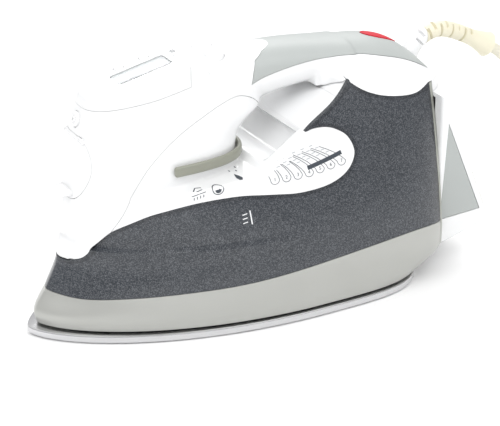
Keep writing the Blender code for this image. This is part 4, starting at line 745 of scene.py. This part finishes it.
bridge_top = [(x, z - 0.5) for x, z in smooth(SADDLE_TOP[3:], 6) if x < 187] + [(192.5, 130)]
bridge_under = [(x + 4, z - 4) for x, z in bridge_top]
bridge = hull("bridge", 95, 134, 2, WALL + GAP)
combine(bridge, side_cut("bridge_band", bridge_top + bridge_under[::-1]), "INTERSECT")
combine(shell, bridge, "UNION")

panel_seam = smooth(PANEL_SEAM, 6)
panel_line = [(15, 130.5), *panel_seam, (96, 156), (96, 170), (15, 170)]
saddle_line = [*smooth(FRONT_SEAM, 6), (153, 117), (175, 121.4), (184, 123.2), (189, 119), (189, 35),
               (30, 35)]
grip_front = [(136.5, 140), (139, 145.6), (146, 148.6), (158, 150.6), (159, 156), (159, 175)]
grip_line = grip_front[::-1] + smooth(GRIP_SEAM, 6) + [(262, 122), (262, 175)]
panel = combine(copied(shell, "display_panel"), side_cut("panel_region", panel_line), "INTERSECT")
saddle = combine(copied(shell, "saddle_shell"), side_cut("saddle_region", saddle_line), "INTERSECT")
grip = combine(copied(shell, "grip_cover"), side_cut("grip_region", grip_line), "INTERSECT")
housing = shell
housing.name = "front_housing"
for name, outline in (("panel_gap", panel_line), ("saddle_gap", saddle_line), ("grip_gap", grip_line)):
    combine(housing, side_cut(name, grown(outline, GAP)))

gloss_white = finish("gloss_white", (0.86, 0.865, 0.87), 0.22, 0.012, 0.0009, 0.000006, coat=0.35)

# Collar of the guard: a hard white ring moulded round its root, next to the ball.
collar_line = [(240, 100), (264.5, 100), (264.5, 150), (240, 150)]
collar = combine(copied(bend_guard, "guard_collar"), side_cut("collar_cut", collar_line), "INTERSECT")
combine(bend_guard, side_cut("sleeve_cut", grown(collar_line, GAP)))
collar.data.materials.clear()
fitted(collar, gloss_white, "cord_swivel", "white_plastic")


# Display panel: a window of clear acrylic in a slot of the panel, over a reflective liquid-crystal module,
# with two small keys beside it that choose the fabric.
middle = design(75.5, 0, PANEL_TOP[0][1] + (PANEL_TOP[1][1] - PANEL_TOP[0][1]) * (75.5 - 20) / 84)
slope_low, slope_high = (design(x, 0, z) for x, z in PANEL_TOP)
along = (slope_high - slope_low).normalized()
out = Vector((-along.z, 0, along.x))
WINDOW = (34.0, 15.4)


def tilted_block(name, centre, along, out, size, corner, steps=8):
    """A block with rounded corners in plan, lying along one direction with its top facing another."""
    length, width, height = (v * MM for v in size)
    corner *= MM
    rings = []
    for up in (-height / 2, height / 2):
        ring = []
        for qx, qy, first in ((1, 1, 0), (-1, 1, 90), (-1, -1, 180), (1, -1, 270)):
            for k in range(steps + 1):
                turn = math.radians(first + 90 * k / steps)
                px = qx * (length / 2 - corner) + corner * math.cos(turn)
                py = qy * (width / 2 - corner) + corner * math.sin(turn)
                ring.append(tuple(centre + along * px + Vector((0, py, 0)) + out * up))
        rings.append(ring)
    return lofted(name, rings)


combine(panel, tilted_block("slot", middle, along, out, (*WINDOW, 30), 2.6), solver="EXACT")
lens_size = (WINDOW[0] - 0.3, WINDOW[1] - 0.3, 0.8)
window = tilted_block("window_lens", middle - out * 0.8 * MM, along, out, lens_size, 2.4)
apply_step(window, "BEVEL", width=0.25 * MM, segments=2, limit_method="ANGLE")
lens_clear = finish("lens_clear", (0.95, 0.96, 0.97), 0.04, 0.01, 0.0008, 0.000002)
lens_clear.node_tree.nodes["Principled BSDF"].inputs["Transmission Weight"].default_value = 0.95
lens_clear.node_tree.nodes["Principled BSDF"].inputs["IOR"].default_value = 1.12
fitted(window, lens_clear, "iron", "clear_plastic", "display_window")
screen_size = (WINDOW[0] - 0.4, WINDOW[1] - 0.4, 5.0)
screen = tilted_block("screen_module", middle - out * 3.8 * MM, along, out, screen_size, 2.4)
apply_step(screen, "BEVEL", width=0.3 * MM, segments=2, limit_method="ANGLE")
screen_grey = finish("screen_grey", (0.90, 0.91, 0.90), 0.3, 0.03, 0.0004, 0.000004)
fitted(screen, screen_grey, "iron", "circuit_board", "display_module")
for name, body, shift in (("fabric_key_down", "fabric_down", -8 * MM),
                          ("fabric_key_up", "fabric_up", 8 * MM)):
    centre = middle + along * shift + Vector((0, (WINDOW[1] / 2 + 5.2) * MM, 0))
    combine(panel, rod("key_hole", centre - out * 8 * MM, centre + out * 6 * MM, 3.4 * MM), solver="EXACT")
    key = rod(name + "_cap", centre - out * HANDLE_WALL * MM, centre + out * 0.4 * MM, 3.0 * MM, 40)
    apply_step(key, "BEVEL", width=0.45 * MM, segments=4, limit_method="ANGLE")
    fitted(key, gloss_white, body, "white_plastic", name)


# Spray and steam-burst buttons: two white caps behind the panel, each on the plunger of a small pump with a
# return spring of steel wire.
thumb_top = through(HANDLE_TOP, 117)
for side, word in ((-1, "spray"), (1, "burst")):
    x, y = 117, side * 7.6
    hole_low, hole_high = design(x, y, thumb_top - 14), design(x, y, thumb_top + 8)
    combine(housing, rod("thumb_hole", hole_low, hole_high, 6.15 * MM, 48))
    low = thumb_top - HANDLE_WALL - 4.2
    cap = rod(word + "_cap", design(x, y, low), design(x, y, thumb_top + 0.3), 6.0 * MM, 48)
    apply_step(cap, "BEVEL", width=0.35 * MM, segments=3, limit_method="ANGLE")
    combine(cap, rod("stem", design(x, y, low - 9), design(x, y, low + 1), 2.2 * MM, 24), "UNION")
    fitted(cap, gloss_white, word + "_key", "white_plastic",
           word + "_button")
    coat_node(word + "_pump", gloss_white)


# Fill door: a round white flap cut out of the nose, hinged on a steel pin along its top edge, with a thumb
# lip moulded on below. Behind it lies the funnel of the fill hose.
DOOR_Z, PIN_Z, DOOR_R, HINGE_R = 100, 116, 19.8, 1.3
low_end, high_end = (design(through(COLUMN_FRONT, z), 0, z) for z in (84, PIN_Z))
door_up = (high_end - low_end).normalized()
door_out = Vector((-door_up.z, 0, door_up.x))
door_middle = design(through(COLUMN_FRONT, DOOR_Z), 0, DOOR_Z)
pin = design(through(COLUMN_FRONT, PIN_Z), 0, PIN_Z) - door_out * 0.6 * MM


def above_pin(by):
    corners = [(by, 20), (by + 20 * MM, 20), (by + 20 * MM, -20), (by, -20)]
    places = [pin + door_up * a + door_out * b * MM for a, b in corners]
    return side_cut("above_pin", [(p.x / MM + 144, p.z / MM) for p in places])


def door_disc(radius):
    back, ahead = door_middle - door_out * 12 * MM, door_middle + door_out * 10 * MM
    return rod("door_disc", back, ahead, radius * MM, 96)


door = combine(copied(housing, "nose_door"), door_disc(DOOR_R), "INTERSECT")
combine(door, above_pin(-1.1 * MM))
reach = Vector((0, 9.5 * MM, 0))
combine(door, rod("barrel", pin - reach, pin + reach, HINGE_R * MM, 24), "UNION")
lip = door_middle - door_up * (DOOR_R - 3) * MM
rings = []
for across, up, down, shift in ((7.5, 3.4, 1.0, -1.4), (7.2, 2.8, 1.0, 1.5), (6.8, 2.0, 0.95, 3.5),
                                (6.3, 1.4, 0.9, 5.0), (5.6, 1.0, 0.7, 5.6), (4.8, 0.6, 0.4, 5.8)):
    ring = []
    for k in range(28):
        turn = math.tau * k / 28
        c, s = math.cos(turn), math.sin(turn)
        r = (abs(c) ** 4 + abs(s) ** 4) ** -0.25
        high = (up - down) / 2 + (up + down) / 2 * r * s
        ring.append(tuple(lip + door_up * high * MM + Vector((0, across * r * c * MM, 0))
                          + door_out * shift * MM))
    rings.append(ring)
combine(door, lofted("lip", rings), "UNION")
combine(door, rod("pin_bore", pin - reach * 1.5, pin + reach * 1.5, 0.75 * MM, 20))
opening = door_disc(DOOR_R + GAP)
combine(opening, above_pin(GAP * MM))
combine(housing, opening)
wider = reach + Vector((0, RUN * MM, 0))
combine(housing, rod("notch", pin - wider, pin + wider, (HINGE_R + RUN) * MM, 24))
for side in (-1, 1):
    near, far = (pin + Vector((0, side * (9.5 + d) * MM, 0)) for d in (RUN, 3.4))
    combine(housing, rod("lug", near, far, HINGE_R * MM, 24), "UNION")
    spare = Vector((0, side * GAP * MM, 0))
    combine(door, rod("lug_room", near - spare, far + spare, (HINGE_R + RUN) * MM, 24))
fitted(door, gloss_white, "door", "white_plastic", "fill_door")


# Spray nozzle: a small white insert above the door, pressed into the housing and pointing forward. Its
# outlet is a fine hole in a raised ring.
front = design(through(COLUMN_FRONT, 125), 0, 125)
spray_way = Vector((-0.97, 0, 0.243))
combine(housing, rod("nozzle_hole", front - spray_way * 8 * MM, front + spray_way * 6 * MM, 4.7 * MM, 48))
rings = []
sideways = Vector((0, 1, 0))
lift = spray_way.cross(sideways)
for radius, ahead in ((4.4, -6), (4.4, 0.6), (4.25, 1.1), (3.9, 1.5), (3.3, 1.7), (2.6, 1.7), (2.2, 1.3),
                      (1.9, 1.3), (1.6, 1.9), (1.1, 2.1), (0.8, 2.0), (0.7, 0.5), (0.6, -2)):
    rings.append([tuple(front + spray_way * ahead * MM + (sideways * math.cos(math.tau * k / 48)
                                                          + lift * math.sin(math.tau * k / 48)) * radius * MM)
                  for k in range(48)])
nozzle = lofted("nozzle_insert", rings)
soft_grey = finish("soft_grey", (0.44, 0.465, 0.455), 0.48, 0.03, 0.0005, 0.00004)
fitted(nozzle, gloss_white, "iron", "grey_soft_plastic", "spray_nozzle")


# Steam lever: an olive-grey slider that runs round the back of the column in a hollow of the saddle. A tab on
# it reaches through the wall to the needle of the steam valve.
section = []
for k in range(24):
    c, s = math.cos(math.tau * k / 24), math.sin(math.tau * k / 24)
    r = (abs(c) ** 2.7 + abs(s) ** 2.7) ** (-1 / 2.7)
    section.append((LEVER_T / 2 * r * c, LEVER_H / 2 * r * s))
inner = [Vector(p) for p in column_ring(LEVER_Z, -(RUN + GAP + LEVER_T / 2), 240)]
rail = [p for p in inner if p.x / MM + 144 > 79.2]
rail.sort(key=lambda p: math.atan2(p.y, p.x - design(60, 0, 0).x))
rings = []
for k, p in enumerate(rail):
    before, after = rail[max(k - 1, 0)], rail[min(k + 1, len(rail) - 1)]
    way = (after - before).normalized()
    outward = Vector((way.y, -way.x, 0))
    if outward.dot(p - design(100, 0, LEVER_Z)) < 0:
        outward = -outward
    rings.append([tuple(p + outward * a * MM + Vector((0, 0, b * MM))) for a, b in section])
for place, sign in ((0, -1), (-1, 1)):
    p, q = rail[place], rail[1 if place == 0 else -2]
    way = (p - q).normalized()
    outward = Vector((0, -1 if p.y < 0 else 1, 0))
    caps = [[tuple(p + way * d * MM + outward * a * s * MM + Vector((0, 0, b * s * MM))) for a, b in section]
            for d, s in ((0.5, 0.93), (0.9, 0.8), (1.15, 0.6))]
    rings = caps[::-1] + rings if place == 0 else rings + caps
lever = lofted("lever_bar", rings)
tab_end = through(COLUMN_REAR, LEVER_Z) + RUN + 1
tab_low, tab_high = design(102, -3, LEVER_Z - 1.5), design(tab_end, 3, LEVER_Z + 1.5)


def block(name, low, high):
    low, high = Vector(low), Vector(high)
    unselect()
    bpy.ops.mesh.primitive_cube_add(size=1, location=(low + high) / 2, scale=high - low)
    made = bpy.context.active_object
    made.name = name
    bpy.ops.object.transform_apply(location=True, rotation=True, scale=True)
    return made


combine(lever, block("tab", tab_low, tab_high), "UNION")
room = Vector((RUN, RUN, RUN)) * MM
combine(saddle, block("tab_slot", tab_low - room, tab_high + room + Vector((0.6 * MM, 0, 0))))
olive_grey = finish("olive_grey", (0.27, 0.275, 0.225), 0.36, 0.04, 0.0006, 0.00002, coat=0.2)
fitted(lever, olive_grey, "lever", "olive_grey_plastic", "steam_lever")


# Power button: a red acrylic lens let into the grip near its tail and standing a little proud of it. It is
# pressed to switch the iron on.
outline = [(231.5 + 12 * math.cos(math.tau * k / 64), 6.2 * math.sin(math.tau * k / 64)) for k in range(64)]
lens_cut = lofted("lens_cut", [[tuple(design(x, y, z)) for x, y in outline] for z in (118, 170)])
wider_cut = lofted("lens_hole", [[tuple(design(231.5 + (x - 231.5) * 1.025, y * 1.05, z)) for x, y in outline]
                                 for z in (118, 170)])
red_lens = combine(copied(grip, "power_lens"), lens_cut, "INTERSECT", "EXACT")
combine(grip, wider_cut, solver="EXACT")
for vertex in red_lens.data.vertices:
    vertex.co.z += 0.5 * MM
lens_red = finish("lens_red", (0.62, 0.008, 0.025), 0.45, 0.06, 0.0012, 0.000004)
lens_red.node_tree.nodes["Principled BSDF"].inputs["Specular IOR Level"].default_value = 0.2
fitted(red_lens, lens_red, "power_key", "red_lens", "power_button")

fitted(panel, gloss_white, "iron", "white_plastic", "top_panel")
fitted(saddle, gloss_white, "iron", "white_plastic", "saddle_cover")
fitted(housing, gloss_white, "iron", "white_plastic", "handle_housing")
fitted(grip, soft_grey, "iron", "grey_soft_plastic", "soft_grip")


# Rear trim: a narrow bezel moulded in warm-grey plastic, which closes the tank's rear edge. Its window lets
# the wires through to the heel.
trim = hull("rear_bezel", TO_SKIRT, 133, 1.5, 0)
x0, x1 = REAR_CUT + GAP, REAR_CUT + GAP + TRIM_T
combine(trim, side_cut("trim_band", [(x0, 21), (x1, 21), (x1, 118.6), (x0, 118.6)]), "INTERSECT")
trim_inside = hull("trim_inside", 0, 150, 4, WALL + 2)
trim_window = side_cut("trim_window", [(x0 - 5, 26), (x1 + 5, 26), (x1 + 5, 111), (x0 - 5, 111)])
combine(trim_inside, trim_window, "INTERSECT")
combine(trim, trim_inside)
for turn in SWINGS:
    for piece in (trim, grip):
        combine(piece, guard_way(turn))
warm_grey = finish("warm_grey", (0.36, 0.37, 0.33), 0.34, 0.03, 0.0006, 0.00002, coat=0.2)
fitted(trim, warm_grey, "iron", "warm_grey_plastic", "rear_trim")


# Heel: a hollow white block the iron stands up on, with a grey triangle let into each side, and a screwed
# cover over the cord's terminals on its sloping back.
HEEL_LINE = ((249.3, 15), (287.6, 25.2), (288, 27.5), (285.5, 35), (263, 88), (259.5, 100), (260.5, 113),
             (249.3, 113))
HEEL_HALF = 45.0
rings = []
for side in (-1, 1):
    rows = []
    for k in range(9):
        turn = math.pi / 2 * k / 8
        y = side * (HEEL_HALF - 2.4 + 2.4 * math.cos(turn))
        rows.append([tuple(design(x, y, z)) for x, z in grown(HEEL_LINE, -2.4 * (1 - math.sin(turn)))])
    rings += rows if side < 0 else rows[::-1]
heel = lofted("heel_body", rings)
inside = grown(HEEL_LINE, -WALL)
inside = [(x if x > HEEL_LINE[0][0] + 2 * WALL else x - 4 * WALL, z) for x, z in inside]
combine(heel, side_cut("heel_inside", inside, HEEL_HALF - 3 * WALL))
triangle = [(251.5, 33.2), (280.5, 34.6), (254.5, 95)]
low_end, high_end = design(285.5, 0, 35), design(263, 0, 88)
cover_up = (high_end - low_end).normalized()
cover_out = Vector((cover_up.z, 0, -cover_up.x))
cover_middle = (low_end + high_end) / 2
combine(heel, tilted_block("cover_seat", cover_middle, cover_up, cover_out, (44.6, 56.6, 3.6), 4.3))
combine(heel, tilted_block("cover_window", cover_middle, cover_up, cover_out, (32, 44, 30), 2))


def side_prism(name, outline, y0, y1):
    return lofted(name, [[tuple(design(x, y, z)) for x, z in outline] for y in (y0, y1)])


for side, word in ((-1, "left"), (1, "right")):
    seat = side_prism("panel_seat", grown(triangle, GAP), side * (HEEL_HALF - 2.2), side * (HEEL_HALF + 2))
    combine(heel, seat)
    plate = side_prism("heel_plate_" + word, triangle, side * (HEEL_HALF - 1.9), side * (HEEL_HALF - 0.15))
    apply_step(plate, "BEVEL", width=0.35 * MM, segments=3, limit_method="ANGLE")
    fitted(plate, soft_grey, "iron", "grey_soft_plastic", "heel_panel_" + word)
fitted(heel, gloss_white, "iron", "white_plastic", "heel_block")
cover_place = cover_middle - cover_out * 0.6 * MM
cover = tilted_block("terminal_cover", cover_place, cover_up, cover_out, (44, 56, 1.5), 4)
apply_step(cover, "BEVEL", width=0.4 * MM, segments=3, limit_method="ANGLE")
for side, word in ((-1, "left"), (1, "right")):
    centre = cover_middle + Vector((0, side * 19.5 * MM, 0))
    combine(cover, rod("screw_hole", centre - cover_out * 6 * MM, centre + cover_out * 4 * MM, 2.4 * MM))
    under, top = centre + cover_out * 0.45 * MM, centre + cover_out * 1.75 * MM
    head = rod("cover_screw_head_" + word, under, top, 3.6 * MM, 48)
    apply_step(head, "BEVEL", width=0.5 * MM, segments=4, limit_method="ANGLE")
    tip, neck = centre - cover_out * 4.6 * MM, centre + cover_out * 0.8 * MM
    combine(head, rod("shank", tip, neck, 2.0 * MM, 24), "UNION")
    for turn in (25, 115):
        arm = Matrix.Rotation(math.radians(turn), 3, cover_out) @ cover_up
        combine(head, rod("cross", top - arm * 2.1 * MM, top + arm * 2.1 * MM, 0.5 * MM, 12))
    fitted(head, plain_steel, "iron", "plain_steel", "cover_screw_" + word)
fitted(cover, gloss_white, "iron", "white_plastic", "rear_cover")


# Electronics: a green glass-fibre board in the back of the housing with its relay on it, and the terminal
# block for the cord in the heel. The covers hide them.
board_green = finish("board_green", (0.04, 0.20, 0.10), 0.45, 0.12, 0.0009, 0.00003)
coat_node("control_board", board_green)
part_black = finish("part_black", (0.03, 0.03, 0.032), 0.4, 0.1, 0.0007, 0.00002)
for name in ("relay", "terminal_block"):
    coat_node(name, part_black)


# Printing: the fabric chart with its seven numbered tabs, three icons beside the lever, the fill level mark
# and two marks on the panel, all pad-printed in one colour each.
saddle_tree = BVHTree.FromObject(saddle, bpy.context.evaluated_depsgraph_get())
tank_tree = BVHTree.FromObject(tank, bpy.context.evaluated_depsgraph_get())


class Print:
    """Flat ink shapes in a side view, laid on the surface they are printed on."""

    def __init__(self, tree):
        self.tree = tree
        self.bm = bmesh.new()

    def at(self, x, z):
        way = Vector((0, 0.902, -0.431))
        hit, face, *_ = self.tree.ray_cast(design(x, -45, z) - way * 50 * MM, way)
        return self.bm.verts.new(hit + face * 0.07 * MM)

    def line(self, points, width, taper=1.0):
        near, far = [], []
        count = len(points)
        for k, p in enumerate(points):
            a, b = Vector(points[max(k - 1, 0)]), Vector(points[min(k + 1, count - 1)])
            way = (b - a).normalized()
            half = width / 2 * (1 + (taper - 1) * k / max(count - 1, 1))
            near.append(self.at(p[0] - way.y * half, p[1] + way.x * half))
            far.append(self.at(p[0] + way.y * half, p[1] - way.x * half))
        for k in range(count - 1):
            self.bm.faces.new((near[k], near[k + 1], far[k + 1], far[k]))

    def blob(self, points):
        middle = self.at(sum(p[0] for p in points) / len(points), sum(p[1] for p in points) / len(points))
        rim = [self.at(*p) for p in points]
        for k in range(len(rim)):
            self.bm.faces.new((middle, rim[k], rim[(k + 1) % len(rim)]))

    def text(self, words, x, z, size):
        curve = bpy.data.curves.new("digits", "FONT")
        curve.body = words
        curve.size = size
        curve.align_x = curve.align_y = "CENTER"
        obj = bpy.data.objects.new("digits", curve)
        scene.collection.objects.link(obj)
        mesh = bpy.data.meshes.new_from_object(obj.evaluated_get(bpy.context.evaluated_depsgraph_get()))
        bpy.data.objects.remove(obj)
        verts = [self.at(x + v.co.x, z + v.co.y) for v in mesh.vertices]
        for face in mesh.polygons:
            self.bm.faces.new([verts[i] for i in face.vertices])

    def done(self, name, material, body, slot):
        for face in self.bm.faces:
            if face.normal_update() or face.normal.y > 0:
                face.normal_flip()
        mesh = bpy.data.meshes.new(name)
        self.bm.to_mesh(mesh)
        self.bm.free()
        obj = bpy.data.objects.new(name, mesh)
        scene.collection.objects.link(obj)
        return fitted(obj, material, body, slot)


ink_dark = finish("ink_dark", (0.045, 0.055, 0.07), 0.5, 0.1, 0.0006, 0.000004)
ink_pale = finish("ink_pale", (0.42, 0.44, 0.46), 0.5, 0.1, 0.0006, 0.000004)
ink_white = finish("ink_white", (0.85, 0.86, 0.87), 0.5, 0.02, 0.0006, 0.000004)

chart = Print(saddle_tree)
words = Print(saddle_tree)
tabs = [(133 + 7.25 * k, 84.4 + (0 if k < 3 else 0.9 * (k - 3))) for k in range(7)]
for k, (x, z) in enumerate(tabs):
    lean, bend = 0.154 + 0.1 * k, 0.04 + 0.0016 * k
    loop = []
    for i in range(13):
        turn = math.pi + math.pi * i / 12
        loop.append((x + 2.7 * math.cos(turn), z + 2.7 * math.sin(turn)))
    left = [(x - 2.7 - lean * d - bend * d * d, z + d) for d in (12, 9, 6, 3, 1)]
    right = [(x + 2.7 - lean * d - bend * d * d, z + d) for d in (1, 3, 6, 9, 12)]
    left = [p for p in left if p[1] < through(SADDLE_TOP, p[0]) - 0.6]
    right = [p for p in right if p[1] < through(SADDLE_TOP, p[0]) - 0.6]
    chart.line(left + loop + right, 0.34)
    chart.text(str(k + 1), x, z + 0.2, 3.0)
    for row in range(4):
        d = 7.5 + 1.9 * row
        at = x - lean * d - bend * d * d
        if z + d < through(SADDLE_TOP, at) - 1:
            words.line([(at - 1.2, z + d), (at + 1.0, z + d + 0.35)], 0.5)
bar = [(154, 87.3), (160, 88.5), (166, 89.8), (172, 91.3), (177, 92.7)]
chart.line(bar, 2.7)
chart.done("fabric_chart", ink_dark, "iron", "black_plastic")
words.done("chart_columns", ink_pale, "iron", "grey_soft_plastic")

icons = Print(saddle_tree)
icons.line([(84.6, 85.4), (92.4, 86.6), (91.6, 89.6), (88.6, 90.0), (86.2, 88.2), (84.4, 85.6)], 0.5)
icons.line([(87.6, 87.6), (91.2, 88.3)], 0.4)
for k in range(4):
    icons.line([(85.6 + 1.8 * k, 84.4 + 0.25 * k), (85.4 + 1.8 * k, 82.8 + 0.25 * k)], 0.45)
turns = [math.tau * k / 24 for k in range(25)]
ring = [(99.4 + 3.1 * math.cos(turn), 86.4 + 3.1 * math.sin(turn)) for turn in turns]
icons.line(ring, 0.5)
icons.blob([(99.4, 88.9), (100.4, 87.3), (101.3, 85.9), (100.6, 84.4), (99.4, 84.0), (98.2, 84.4), (97.5, 85.9),
            (98.4, 87.3)])
icons.line([(97.3, 88.5), (101.5, 84.3)], 0.4)
icons.blob([(114.6, 93.4), (115.9, 91.6), (116.4, 90.2), (115.2, 88.9), (113.6, 89.1), (113.2, 90.5), (113.8, 92.1)])
for x, z in ((114.2, 95.6), (117.6, 95.0), (119.2, 97.2)):
    icons.blob([(x, z + 0.9), (x + 0.45, z), (x, z - 0.45), (x - 0.45, z)])
icons.done("lever_icons", ink_dark, "iron", "black_plastic")

level = Print(tank_tree)
level.line([(116.5, 60.6), (115.9, 69.4)], 0.7)
for k in range(3):
    level.line([(111.3, 62.2 + 2.6 * k), (114.1, 62.6 + 2.6 * k)], 0.6)
level.done("level_mark", ink_white, "iron", "white_plastic")


def panel_marks(name, strokes, width, material):
    bm = bmesh.new()
    for points in strokes:
        for a, b in zip(points, points[1:]):
            a, b = (middle + along * p[0] * MM + Vector((0, p[1] * MM, 0)) + out * 0.06 * MM for p in (a, b))
            aside = (b - a).normalized().cross(out) * width / 2 * MM
            bm.faces.new([bm.verts.new(p) for p in (a + aside, b + aside, b - aside, a - aside)][::-1])
    mesh = bpy.data.meshes.new(name)
    bm.to_mesh(mesh)
    bm.free()
    obj = bpy.data.objects.new(name, mesh)
    scene.collection.objects.link(obj)
    return fitted(obj, material, "iron", "grey_soft_plastic")


ticks = [[(21.5, 4 + 1.5 * k), (22.4, 4.5 + 1.5 * k), (24.5, 4.2 + 1.5 * k)] for k in range(3)]
panel_marks("panel_mark_dark", ticks, 0.8, ink_dark)
dashes = [[(20, -1.5 + 1.4 * k), (23, -1.2 + 1.4 * k)] for k in range(3)]
panel_marks("panel_mark_pale", dashes, 0.6, ink_pale)
